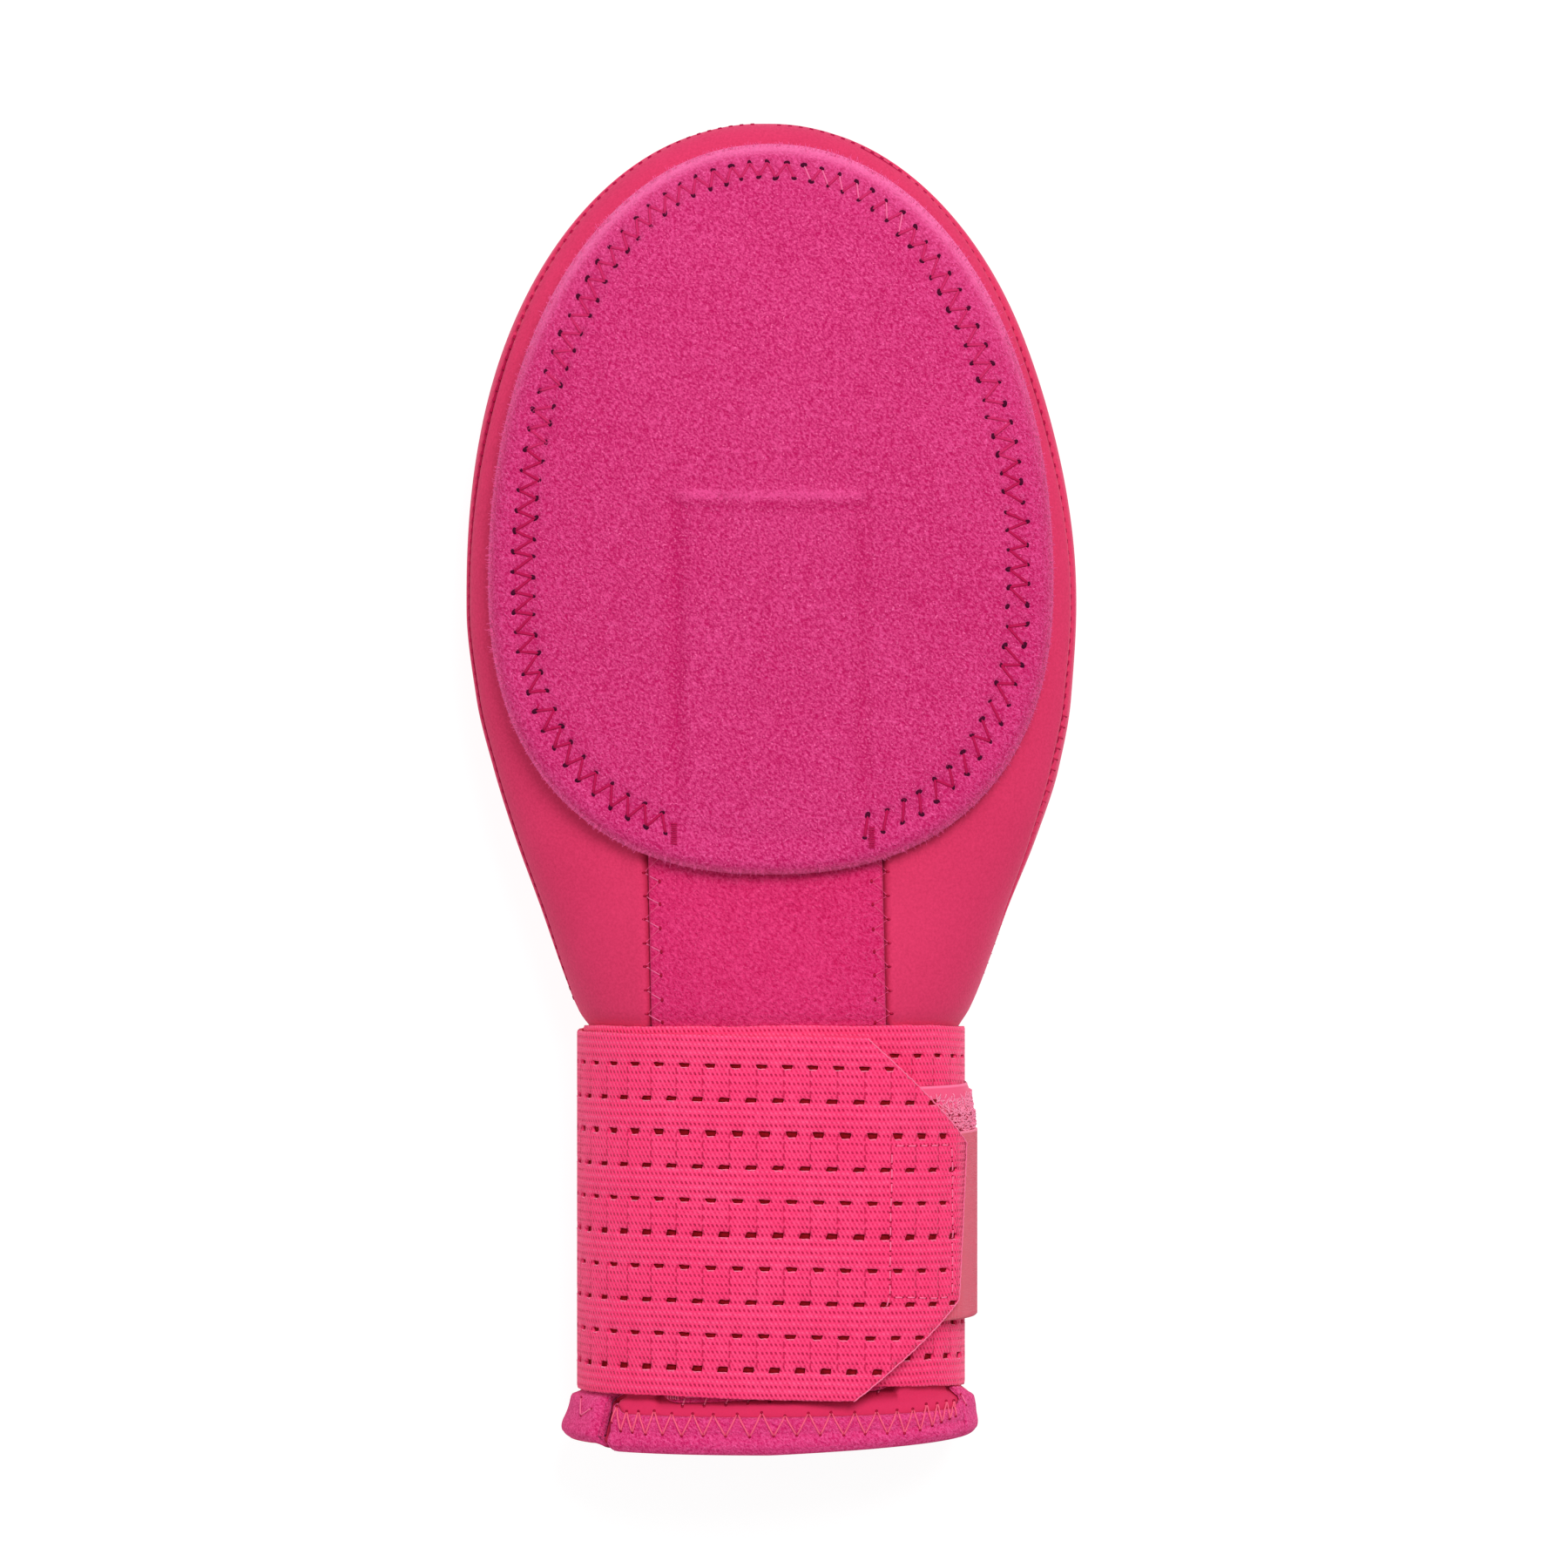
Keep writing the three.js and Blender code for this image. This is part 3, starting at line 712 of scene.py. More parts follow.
def elastic(name, color):
    """Knit whose coordinates start at a hole's middle, and run up from the lower edge."""
    finish = Finish(name, roughness=0.65, sheen_weight=0.3, sheen_roughness=0.4,
                    sheen_tint=(1.0, 0.4, 0.55, 1))
    along, across, _ = finish.cloth_mm()
    row = (STRAP_WIDTH - HOLE_EDGE - across) / LOOP_ROW + 0.5
    faint = row.math("FLOOR").math("FLOORED_MODULO", 2.0)
    down = row.math("FRACT") - 0.5
    turn = (along / LOOP_LENGTH + faint * 0.5 - down * 0.4 + 0.5) * FULL_TURN
    lane = 1 - down.math("ABSOLUTE").clear(0.12, 0.5)
    dot = ((turn.math("COSINE") * 0.5 + 0.5).math("POWER", 2.2) * lane) * (1 - faint * 0.55)
    dash = (0.5 - turn.math("COSINE") * 0.5).math("POWER", 3.0) * (lane * 0.6 + 0.25)
    zone = (STRAP_WIDTH - HOLE_EDGE - across) / ROW_PITCH
    lined = 1 - zone.math("FLOOR").math("FLOORED_MODULO", 2.0)
    rib = faint * (1 - down.math("ABSOLUTE").clear(0.1, 0.42)) * (1 - lined * 0.75)
    seam = ((along - HOLE_LENGTH / 2) / HOLE_PITCH + 0.5).math("FRACT") - 0.5
    line = 1 - (seam.math("ABSOLUTE") * HOLE_PITCH).clear(0.08, 0.24)
    line = line * lined * zone.clear(-0.02, 0.02) * (1 - zone.clear(8.98, 9.02))
    line = line * ((across * (FULL_TURN / 2.3)).math("SINE") * 0.5 + 0.5).clear(0.15, 0.5)
    blur = finish.noise(900, 3, 0.6) - 0.5
    dark, light = [toned(color, tone) for tone in KNIT_TONES]
    hollow = (dot * (1.0 - blur * 2.0) + line * 0.7).math("MINIMUM", 1.0)
    raised = dash * 0.5 + rib * 0.38 + blur * 0.9 + (finish.noise(70, 1) - 0.5) * 0.4
    tint = finish.mix(finish.mix(color, light, raised), dark, hollow)
    return finish.done(tint, raised * 0.5 - hollow, 0.00022)


ELASTIC_KNIT = elastic("elastic_knit", (0.92, 0.038, 0.158))
print("knitted rows across the band:", round(STRAP_WIDTH / LOOP_ROW))

# %% [markdown]
# The closure has two faces: a fuzzy pile of tiny loops and a smooth tape with upright ribs that
# shows outside the tab. Sewing thread is glossier than any of the cloth, and a needle hole is
# painted dark, as the shade in it.


# %% Finishes of the closure
# Both strips of the closure: degrees round the wrist, and places along Y.
LOOP_PATCH = {"from": 60, "to": -25, "low": -118.5, "high": -67.7}
HOOK_TAB = {"from": 63, "to": -12, "low": -119.8, "high": -78.0}
SELVAGE = 2.9
RIB_PITCH = 0.44
WEAVE_PITCH = 0.4


def width_of(spec):
    return spec["high"] - spec["low"]


def pile(name, color, wide):
    """Tufts, and a flat woven selvage along the upper edge of a patch this wide."""
    finish = Finish(name, roughness=0.9, sheen_weight=0.3, sheen_roughness=0.3)
    _, across, _ = finish.cloth_mm()
    tufts = finish.noise(1300, 3, 0.7)
    dark, light = [toned(color, k) for k in (0.85, 1.5)]
    woven = across.clear(wide - SELVAGE - 0.1, wide - SELVAGE + 0.3)
    # The selvage's own colour, and a painted highlight along its top edge, which faces the light.
    flat = finish.mix((0.78, 0.085, 0.2), (0.95, 0.17, 0.33), across.clear(wide - 0.7, wide - 0.3))
    tint = finish.mix(finish.mix(dark, light, tufts.clear(0.3, 0.75)), flat, woven)
    return finish.done(tint, tufts * (1 - woven * 0.9), 0.0006)


def ribbed_tape(name, color, wide):
    finish = Finish(name, roughness=0.5, sheen_weight=0.12, sheen_roughness=0.4)
    along, across, _ = finish.cloth_mm()
    rib = ((along / RIB_PITCH).math("FRACT") - 0.5).math("ABSOLUTE") * 2.0
    weave = ((across / WEAVE_PITCH).math("FRACT") - 0.5).math("ABSOLUTE") * 2.0
    shade = rib.clear(0.1, 0.8) * 0.7 + weave * 0.15 + (finish.noise(300, 2) - 0.5) * 0.3
    dark, light = [toned(color, k) for k in (0.78, 1.12)]
    # A painted highlight along the tape's upper edge, which faces the light.
    edge = across.clear(wide - 0.6, wide - 0.25)
    tint = finish.mix(finish.mix(dark, light, shade), (0.95, 0.18, 0.33), edge)
    return finish.done(tint, rib + weave * 0.2, 0.00015)


LOOP_PILE = pile("loop_pile", (1.0, 0.075, 0.21), width_of(LOOP_PATCH))
RIBBED = ribbed_tape("ribbed_tape", (0.78, 0.07, 0.14), width_of(HOOK_TAB))
print("ribs across 10 mm of the tape:", round(10 / RIB_PITCH))


# %% Finishes of the thread
def thread(name, color, gloss=0.45, sheen=0.2):
    finish = Finish(name, roughness=gloss, sheen_weight=sheen)
    twist = finish.noise(1.0, 1, place=finish.stretched((5200, 2600, 2600)))
    dark, light = [toned(color, k) for k in (0.75, 1.15)]
    return finish.done(finish.mix(dark, light, twist), twist, 0.00008)


LOOP_YARN = thread("loop_yarn", (1.0, 0.25, 0.41), 0.7, 0.0)
PALE_THREAD = thread("thread_pale", (1.0, 0.16, 0.32), 0.5, 0.0)
ROSE_THREAD = thread("thread_rose", (0.46, 0.006, 0.075), 0.9, 0.0)
CORAL_THREAD = thread("thread_coral", (1.0, 0.11, 0.22), 0.45, 0.05)
LILAC_THREAD = thread("thread_lilac", (0.84, 0.15, 0.34), 0.6, 0.0)
FAINT_THREAD = thread("thread_faint", (0.8, 0.075, 0.23), 0.8, 0.0)
LIP_HIGHLIGHT = thread("lip_painted_highlight", (1.0, 0.24, 0.4), 0.6)
# The nap's fibres are coloured paler than the fleece they stand from: a painted highlight.
NAP = thread("fleece_nap", (1.0, 0.12, 0.36), 1.0, 0.0)
TOP_THREAD = thread("thread_top", (0.56, 0.02, 0.12), 0.9, 0.0)
# Dark seam thread, also used as painted shade in the seams' grooves.
SEAM_THREAD_AND_SHADE = thread("seam_thread_and_shade", (0.4, 0.005, 0.055), 1.0, 0.0)
CROSS_THREAD = thread("thread_cross", (0.52, 0.022, 0.08), 1.0, 0.0)


def shadowed(name, color):
    """Painted shade for what is seen in a hole: matte, and darker in places."""
    finish = Finish(name, roughness=1.0)
    tint = finish.mix(toned(color, 0.4), color, finish.noise(900, 1))
    finish.feed(finish.shader.inputs["Base Color"], tint)
    return finish.material


# Painted shade, for needle holes and the strap's slots.
HOLE_DARK = shadowed("needle_hole", (0.09, 0.002, 0.03))
HOLE_CRIMSON = shadowed("needle_hole_crimson", (0.55, 0.008, 0.06))
HOLE_SHADE_PLATE = shadowed("hole_painted_shade", (0.3, 0.003, 0.01))
print("thread finishes ready")

# %% [markdown]
# Each panel of the shell is one sheet of neoprene between the two side seams. Its outer face
# follows the shell's formula, its inner face lies 3 mm in, and both edges roll over into the
# seam, so a groove shows there as it does where two thick cloths are sewn edge to edge.

# %% The rows and columns of a panel
STRIP_MIDDLE = -1.6
STRIP_LEAN = -0.0215
STRIP_WIDTH = 52.2
STRIP_LOW = -137.4
STRIP_HIGH = 60.0
STRIP_SLANT = 2.6
RECESS = 1.5
SEAM_ROLL = 1.3
NOSE_ROWS = 84
BACK_COLUMNS = 84
CREASE = 0.042
CREASE_ROLL = 1.3


def panel_rows(grow):
    """Places along the panel: close together where it shows, further apart under the strap."""
    parts = [np.arange(RIM_Y, -133, 0.8), np.arange(-133, -58, 3.2)]
    parts.append(np.arange(-57.5, NOSE_Y - 0.6, 1.2))
    turn = np.linspace(0, np.pi / 2, NOSE_ROWS)
    nose = NOSE_Y + (NOSE_LENGTH + grow) * np.sin(turn) ** (2 / NOSE_PLAN_ROUND)
    return np.concatenate([*parts, nose])


def near_cuff(y):
    return smoothstep(-y, 132, 137)


def left_end(y, side):
    """Angle where a panel ends on the left; towards the cuff the seam stands open a little."""
    s = section(y, 0)
    if side == "palm":
        return np.pi - s.seam_left - CREASE * near_cuff(y)
    return -np.pi - s.seam_left + CREASE * near_cuff(y)


def palm_angles(y):
    """Angles of the palm panel's columns, with lines along both edges of the strip."""
    s = section(y, 0)
    at = np.minimum(y, STRIP_HIGH)
    flat = section(at, 0)
    edges = []
    for sign in (1, -1):
        edge = STRIP_MIDDLE + STRIP_LEAN * at + sign * (STRIP_WIDTH / 2 + 0.5)
        edges.append(np.arccos(signed_power((edge - flat.centre) / flat.half, flat.power / 2)))
    ends = [s.seam_right, *edges, left_end(y, "palm")]
    parts = []
    for k, count in enumerate((27, 30, 27)):
        share = clustered(count)[(0 if k == 0 else 1):]
        parts.append(ends[k][:, None] + (ends[k + 1] - ends[k])[:, None] * share)
    return np.concatenate(parts, axis=1)


def back_angles(y):
    start = section(y, 0).seam_right[:, None]
    return start + (left_end(y, "back")[:, None] - start) * clustered(BACK_COLUMNS)


print("rows of a panel:", len(panel_rows(0)))


# %% One face of a panel
def panel_grid(rows, grow, angles, side):
    """One face of a panel; the cuff is cut a little shorter towards the right."""
    if rows.ndim == 1:
        rows, grow = rows[:, None], np.broadcast_to(grow, rows.shape)[:, None]
    points = shell_point(rows, grow, angles)
    s = section(rows, grow)
    on_seam = np.zeros(angles.shape, bool)
    on_seam[:, [0, -1]] = True
    apart = np.where(on_seam, 1, 1 - s.side) * GAP / 2 * (1 if side == "palm" else -1)
    points[..., 2] += np.where(points[..., 2] > s.floor, apart, 0)
    slant = smoothstep(-points[..., 1], -SLANT_FROM, -HEM_Y)
    points[..., 1] += slant * SLANT_RISE * np.maximum(0, points[..., 0])
    return points


test_rows = panel_rows(0)
palm_face = panel_grid(test_rows, 0, palm_angles(test_rows), "palm")
print("the palm's face is", palm_face.shape[:2], "points, up to z =", palm_face[..., 2].max(), "mm")

# %% [markdown]
# The foam is pressed down where the fleece strip is sewn in, and puffs up a little beside it. A
# boolean cut would leave hard edges. A depth worked out from the distance to the strip's edge is
# soft by itself, and the same distance says where the neoprene is in the groove's shadow.


# %% The recess of the palm panel
def beside_strip(x, y):
    """Distance out from the edge of the strip, negative on the strip."""
    return np.abs(x - STRIP_MIDDLE - STRIP_LEAN * y) - STRIP_WIDTH / 2


def end_slant(x):
    """The strip's lower edge is cut a little higher on the right."""
    return STRIP_SLANT * smoothstep(x, -24, 27)


def recess_depth(x, y):
    """How deep the outer face lies below the plain shell."""
    out = beside_strip(x, y)
    low_end = smoothstep(y - end_slant(x), STRIP_LOW - 1.2, STRIP_LOW - 0.2)
    ends = low_end * (1 - smoothstep(y, STRIP_HIGH, STRIP_HIGH + 2))
    cut = RECESS * (1 - smoothstep(out, 0.4, 1.0))
    swell = 0.3 * np.exp(-((out - 2.4) / 1.4) ** 2)
    return (cut - swell) * ends


def groove_shadow(x, y):
    """How dark the neoprene is, from 0 to 1, in the groove that the strip is sewn into."""
    ends = smoothstep(y, STRIP_LOW, STRIP_LOW + 2) * (1 - smoothstep(y, STRIP_HIGH - 2, STRIP_HIGH))
    return (1 - smoothstep(beside_strip(x, y), 0.35, 0.95)) * ends


print("depth in the strip's middle:", round(float(recess_depth(STRIP_MIDDLE, 0.0)), 2), "mm")

# %% Build both panels
DEEPEST = 2.4


def shell_panel(name, side, material, slot):
    outer_rows, inner_rows = panel_rows(0), panel_rows(-NEOPRENE)
    angles = palm_angles(outer_rows) if side == "palm" else back_angles(outer_rows)
    outer = panel_grid(outer_rows, 0, angles, side)
    inner = panel_grid(inner_rows, -NEOPRENE, angles, side)
    seam = np.concatenate([outer[:, 0], outer[::-1, -1]])
    flat = outer.reshape(-1, 3)
    radius = SEAM_ROLL + CREASE_ROLL * near_cuff(flat[:, 1]) * (flat[:, 0] < 0)
    depth = rolled(distance_to(seam, flat), radius).reshape(outer.shape[:2])
    shadow = np.zeros((2, *outer.shape))
    if side == "palm":
        depth = depth + recess_depth(outer[..., 0], outer[..., 1])
        shadow[0, ..., 0] = groove_shadow(outer[..., 0], outer[..., 1])
    depth -= waves(flat, 46, 0.18, 3).reshape(depth.shape) * smoothstep(outer[..., 1], -60, -30)
    inward = inner - outer
    inward /= np.linalg.norm(inward, axis=-1, keepdims=True)
    outer = outer + inward * np.minimum(depth, DEEPEST)[..., None]
    outer[..., 2] = np.maximum(outer[..., 2], 0)
    points, faces = slab(outer, inner)
    return make_piece(name, points, faces, material, slot, replaces=[f"{side}_shell"],
                      attribute=shadow.reshape(-1, 3))


palm_panel = shell_panel("palm_panel", "palm", NEOPRENE_PALM, "palm_neoprene")
back_panel = shell_panel("back_panel", "back", NEOPRENE_BACK, "back_neoprene")

# %% [markdown]
# The strip down the middle of the palm holds a splint. It is fleece, sewn into the neoprene, so
# it lies almost flush, with a dark line beside it where the two cloths meet. It runs from under
# the pad to the cuff, where its corners are rounded.


# %% The splint strip
STRIP_CORNER = 4.0


def splint_strip():
    """Rows lie close together where the strip shows, below and above the band."""
    parts = [np.linspace(STRIP_LOW, -133, 14), np.arange(-131, -58, 4), np.arange(-57, 60.1, 1.5)]
    rows = np.concatenate(parts)
    share = clustered(44) - 0.5
    from_end = np.clip(1 - (rows - STRIP_LOW) / STRIP_CORNER, 0, 1)
    inset = STRIP_CORNER * (1 - arch(from_end, 2))
    width = (STRIP_WIDTH - 0.3 - 2 * inset)[:, None]
    x = STRIP_MIDDLE + STRIP_LEAN * rows[:, None] + width * share
    y = np.broadcast_to(rows[:, None], x.shape)
    edge = np.minimum(width / 2 - np.abs(width * share), y - STRIP_LOW)
    y = y + end_slant(x) * smoothstep(-y, 118, -STRIP_LOW)
    top = 0.1 - rolled(edge, 0.7) + 0.25 * smoothstep(edge, 0.4, 3)
    faces = []
    for grow in (top, np.minimum(top - 0.1, -FLEECE)):
        faces.append(np.stack([x, y, palm_height(x, y, 0) + grow], axis=-1))
    uneven = waves(faces[0].reshape(-1, 3), 30, 0.1, 5).reshape(x.shape)
    faces[0][..., 2] += uneven * smoothstep(edge, 0, 4)
    return make_piece("splint_strip", *slab(*faces), STRIP_FLEECE, "fleece",
                      replaces=["splint_pocket"])


strip = splint_strip()

# %% [markdown]
# The pad is an egg-shaped block of foam under one piece of fleece. A plain extrusion would look
# like a biscuit. Here a square grid is bent into rings that follow the outline, so the rings can
# lie close together at the rim and along the stitching, where the cloth is pulled down.

# %% Outline and heights of the pad
PAD_THICK = 5.2
PAD_WIDE_Y = 44.6
PAD_HALF = 62.9
PAD_ABOVE = (98.2, 2.07)
PAD_BELOW = (65.2, 2.32)
PAD_STIFFNESS = 0.2
PAD_RINGS = 100


def pad_outline(angle):
    """The edge of the pad, round its widest place."""
    above = np.sin(angle) >= 0
    length = np.where(above, PAD_ABOVE[0], PAD_BELOW[0])
    power = 2 / np.where(above, PAD_ABOVE[1], PAD_BELOW[1])
    across = signed_power(np.cos(angle), power)
    up = signed_power(np.sin(angle), power)
    return np.stack([PAD_HALF * across, PAD_WIDE_Y + length * up], axis=-1)


def pad_under(x, y):
    return palm_height(x, y, GAP)


def pad_over(x, y):
    under = pad_under(x, y)
    return under + (palm_height(0 * x, y, GAP) - under) * PAD_STIFFNESS + PAD_THICK


outline = pad_outline(np.linspace(0, 2 * np.pi, 1441))
outline_length = np.linalg.norm(np.diff(outline, axis=0), axis=1).sum()
print("round the pad:", round(outline_length), "mm")

# %% [markdown]
# The pad is sewn on with a zigzag at an even distance from its edge. The needle places come
# first, because the cover has to be pulled down at them before any thread is laid. They are
# spaced along the outline, in and out by turns, and each is a little off, as in real sewing.

# %% A line of needle places inside the outline
PAD_GAP = 22.3
PAD_STITCH = 4.4
STITCH_INSET = 8.0
STITCH_HALF = 2.1
NEEDLE_WANDER = 0.16


def near_fingertips(y):
    return smoothstep(y, 100, 138)


def inside_outline(inset):
    """The outline moved inwards, starting at the bottom and going clockwise."""
    ahead = np.roll(outline[:-1], -1, axis=0) - np.roll(outline[:-1], 1, axis=0)
    ahead /= np.linalg.norm(ahead, axis=1, keepdims=True)
    inward = np.stack([-ahead[:, 1], ahead[:, 0]], axis=-1)
    moved = outline[:-1] + np.broadcast_to(inset, len(ahead))[:, None] * inward
    start = np.argmin(outline[:-1, 1])
    moved = np.roll(moved, -start, axis=0)[::-1]
    return np.concatenate([moved, moved[:1]])


def spaced(line, places):
    """Points at distances along a line."""
    steps = np.linalg.norm(np.diff(line, axis=0), axis=1)
    along = np.concatenate([[0], np.cumsum(steps)])
    return np.stack([np.interp(places, along, line[:, k]) for k in range(line.shape[1])], axis=-1)


def length_of(line):
    return np.linalg.norm(np.diff(line, axis=0), axis=1).sum()


near_top = near_fingertips(outline[:-1, 1])
stitch_inset = STITCH_INSET - 1.6 * near_top
stitch_half = STITCH_HALF - 0.35 * near_top
outer_line = inside_outline(stitch_inset - stitch_half)
inner_line = inside_outline(stitch_inset + stitch_half)
middle_line = inside_outline(stitch_inset)
places = [PAD_GAP]
while places[-1] < length_of(middle_line) - PAD_GAP:
    high = near_fingertips(spaced(middle_line, [places[-1]])[0, 1])
    places.append(places[-1] + (PAD_STITCH - 0.45 * high) / 2)
share = np.array(places) / length_of(middle_line)
outside, inside = [spaced(line, share * length_of(line)) for line in (outer_line, inner_line)]
pad_needles = np.where((np.arange(len(places)) % 2 == 0)[:, None], outside, inside)
pad_needles += random.normal(0, NEEDLE_WANDER, pad_needles.shape)
print("needle holes in the pad:", len(pad_needles))


# %% A grid of rings for the pad
def concentric(count):
    """A square grid of ring shares and angles, for points that fill a round outline."""
    side = np.linspace(-1, 1, 2 * count + 1)
    u, v = np.meshgrid(side, side, indexing="ij")
    ring = np.maximum(np.abs(u), np.abs(v))
    safe = np.where(ring == 0, 1, ring)
    east = np.abs(u) >= np.abs(v)
    turn = np.where(east, v / safe, 2 - u / safe) * np.pi / 4
    turn = np.where(east & (u < 0), np.pi - (v / safe) * np.pi / 4, turn)
    turn = np.where(~east & (v < 0), -np.pi / 2 + (u / safe) * np.pi / 4, turn)
    return ring, turn


def pad_spots(count):
    """Places of a concentric grid on the pad: fine near the rim and the stitching."""
    ring, turn = concentric(count)
    reach = np.interp(ring, [0, 0.35, 0.95, 1], [0, 0.7, 0.975, 1])[..., None]
    return np.array([0, PAD_WIDE_Y]) + reach * (pad_outline(turn) - [0, PAD_WIDE_Y]), turn


pad_spot, turn = pad_spots(PAD_RINGS)
pad_x, pad_y = pad_spot[..., 0], pad_spot[..., 1]
print("pad grid:", pad_x.shape)

# %% [markdown]
# The fleece rolls down at the rim, and the stiff splint below it prints through: a raised plate
# with a groove along both sides and a ridge at its end. Each is a small height on top of the
# pad's crown, so each can be compared with the photograph and changed alone.

# %% Relief of the cover: rim and splint
RIM_ROUND = 3.4
RIM_DROP = 0.72


def splint_relief(x, y):
    """The stiff plate shows through: raised, with a groove on both sides and a ridge on top."""
    left, right, low, top = [SPLINT[key] for key in ("left", "right", "low", "top")]
    length = smoothstep(y, low - 8, low + 4) * (1 - smoothstep(y, top - 0.8, top + 1))
    inside = smoothstep(x, left - 1.2, left + 1.2) * (1 - smoothstep(x, right - 1.2, right + 1.2))
    grooves = np.exp(-((x - left) / 1.9) ** 2) + np.exp(-((x - right) / 1.6) ** 2)
    return length * (0.35 * inside - 0.8 * grooves) + 0.8 * inside * np.exp(-((y - top) / 1.1) ** 2)


def soft_relief(x, y, rim_inset):
    """What the foam itself gives the cover, before any needle goes through it."""
    rim = rolled(rim_inset, RIM_ROUND) * (PAD_THICK * RIM_DROP / RIM_ROUND)
    flat = np.stack([x, y, 0 * x], axis=-1).reshape(-1, 3)
    uneven = waves(flat, 34, 0.22, 11).reshape(x.shape) * smoothstep(rim_inset, 3, 14)
    return splint_relief(x, y) - rim + uneven


def inset_of(x, y):
    """Distance in from the pad's outline."""
    spots = np.stack([x, y], axis=-1).reshape(-1, 2)
    return distance_to(outline[::2], spots).reshape(x.shape)


from_edge = inset_of(pad_x, pad_y)
top_z = pad_over(pad_x, pad_y) + soft_relief(pad_x, pad_y, from_edge)
print("the relief adds up to", round(float((top_z - pad_over(pad_x, pad_y)).max()), 2), "mm")

# %% [markdown]
# Between the seams the foam presses the cover up a little. Blender's cloth simulation finds that
# rise from an inside pressure, on a coarse grid that is held at the rim and along the needles.
# Only the rise is kept and read at the fine grid, so no modifier is left on the pad.

# %% Let the foam swell under the cover
SWELL_RINGS = 48
SWELL_CAP = 0.8
SWELL_PRESSURE = 80
SWELL_FRAMES = 20
COVER_MASS = 0.02


def swollen(place, held):
    """Heights of a sheet of cloth that foam presses up, where it isn't held."""
    size = place.shape[0]
    mesh = bpy.data.meshes.new("swelling_cover")
    mesh.from_pydata((place.reshape(-1, 3) * MM).tolist(), [], grid_faces(size, size).tolist())
    cover = bpy.data.objects.new("swelling_cover", mesh)
    scene.collection.objects.link(cover)
    cover.vertex_groups.new(name="held").add(np.flatnonzero(held.ravel()).tolist(), 1.0, "REPLACE")
    cloth = cover.modifiers.new("cloth", "CLOTH")
    cloth.settings.vertex_group_mass = "held"
    cloth.settings.mass = COVER_MASS
    cloth.settings.use_pressure = True
    cloth.settings.uniform_pressure_force = SWELL_PRESSURE
    cloth.settings.effector_weights.gravity = 0
    for number in range(1, SWELL_FRAMES + 1):
        scene.frame_set(number)
    evaluated = cover.evaluated_get(bpy.context.evaluated_depsgraph_get())
    heights = np.array([vertex.co.z for vertex in evaluated.data.vertices]) / MM
    bpy.data.objects.remove(cover)
    scene.frame_set(1)
    return heights.reshape(size, size)


def read_grid(values, count):
    """A square grid of values read at another number of points."""
    at = np.linspace(0, len(values) - 1, count)
    low = np.minimum(at.astype(int), len(values) - 2)
    part = at - low
    rows = values[low] * (1 - part)[:, None] + values[low + 1] * part[:, None]
    return rows[:, low] * (1 - part) + rows[:, low + 1] * part


spot, _ = pad_spots(SWELL_RINGS)
x, y = spot[..., 0], spot[..., 1]
inset = inset_of(x, y)
before = pad_over(x, y) + soft_relief(x, y, inset)
from_stitching = distance_to(middle_line[::4], spot.reshape(-1, 2)).reshape(inset.shape)
held = (inset < 0.4) | (from_stitching < 1.4)
after = swollen(np.dstack([x, y, before]), held)
rise = np.clip(after - before, 0, SWELL_CAP)
top_z += read_grid(rise, len(top_z))
print("the cover swells by up to", round(float((after - before).max()), 2), "mm")

# %% Pull the cover down along the stitching
# Each pull is a depth and how far it reaches: along the seam, along a thread, and at a needle.
SEAM_PULL = (0.45, 2.6)
THREAD_PULL = (0.22, 0.6)
NEEDLE_PULL = (0.45, 0.8)
spots = pad_spot.reshape(-1, 2)
from_thread = distance_to(pad_needles, spots).reshape(top_z.shape)
from_middle = distance_to(middle_line[::2], spots).reshape(top_z.shape)
seam_pull = SEAM_PULL[0] * np.exp(-(from_middle / SEAM_PULL[1]) ** 2)
top_z -= seam_pull + THREAD_PULL[0] * np.exp(-(from_thread / THREAD_PULL[1]) ** 2)
for hole in pad_needles:
    away = (pad_x - hole[0]) ** 2 + (pad_y - hole[1]) ** 2
    top_z -= NEEDLE_PULL[0] * np.exp(-away / NEEDLE_PULL[1] ** 2)
print("the cover lies between z =", round(top_z.min(), 1), "and", round(top_z.max(), 1), "mm")


# %% Close the pad underneath
# Rings below the rim: share of the outline, and height as a share of the pad's thickness.
UNDERSIDE = ((0.998, 0.12), (0.99, 0.02), (0.96, 0), (0.85, 0), (0.6, 0), (0.3, 0))


def ring_of_grid(count):
    """Indices of the outermost ring of the square grid, in order."""
    size = 2 * count + 1
    index = np.arange(size * size).reshape(size, size)
    return np.concatenate([index[0, :-1], index[:-1, -1], index[-1, :0:-1], index[:0:-1, 0]])


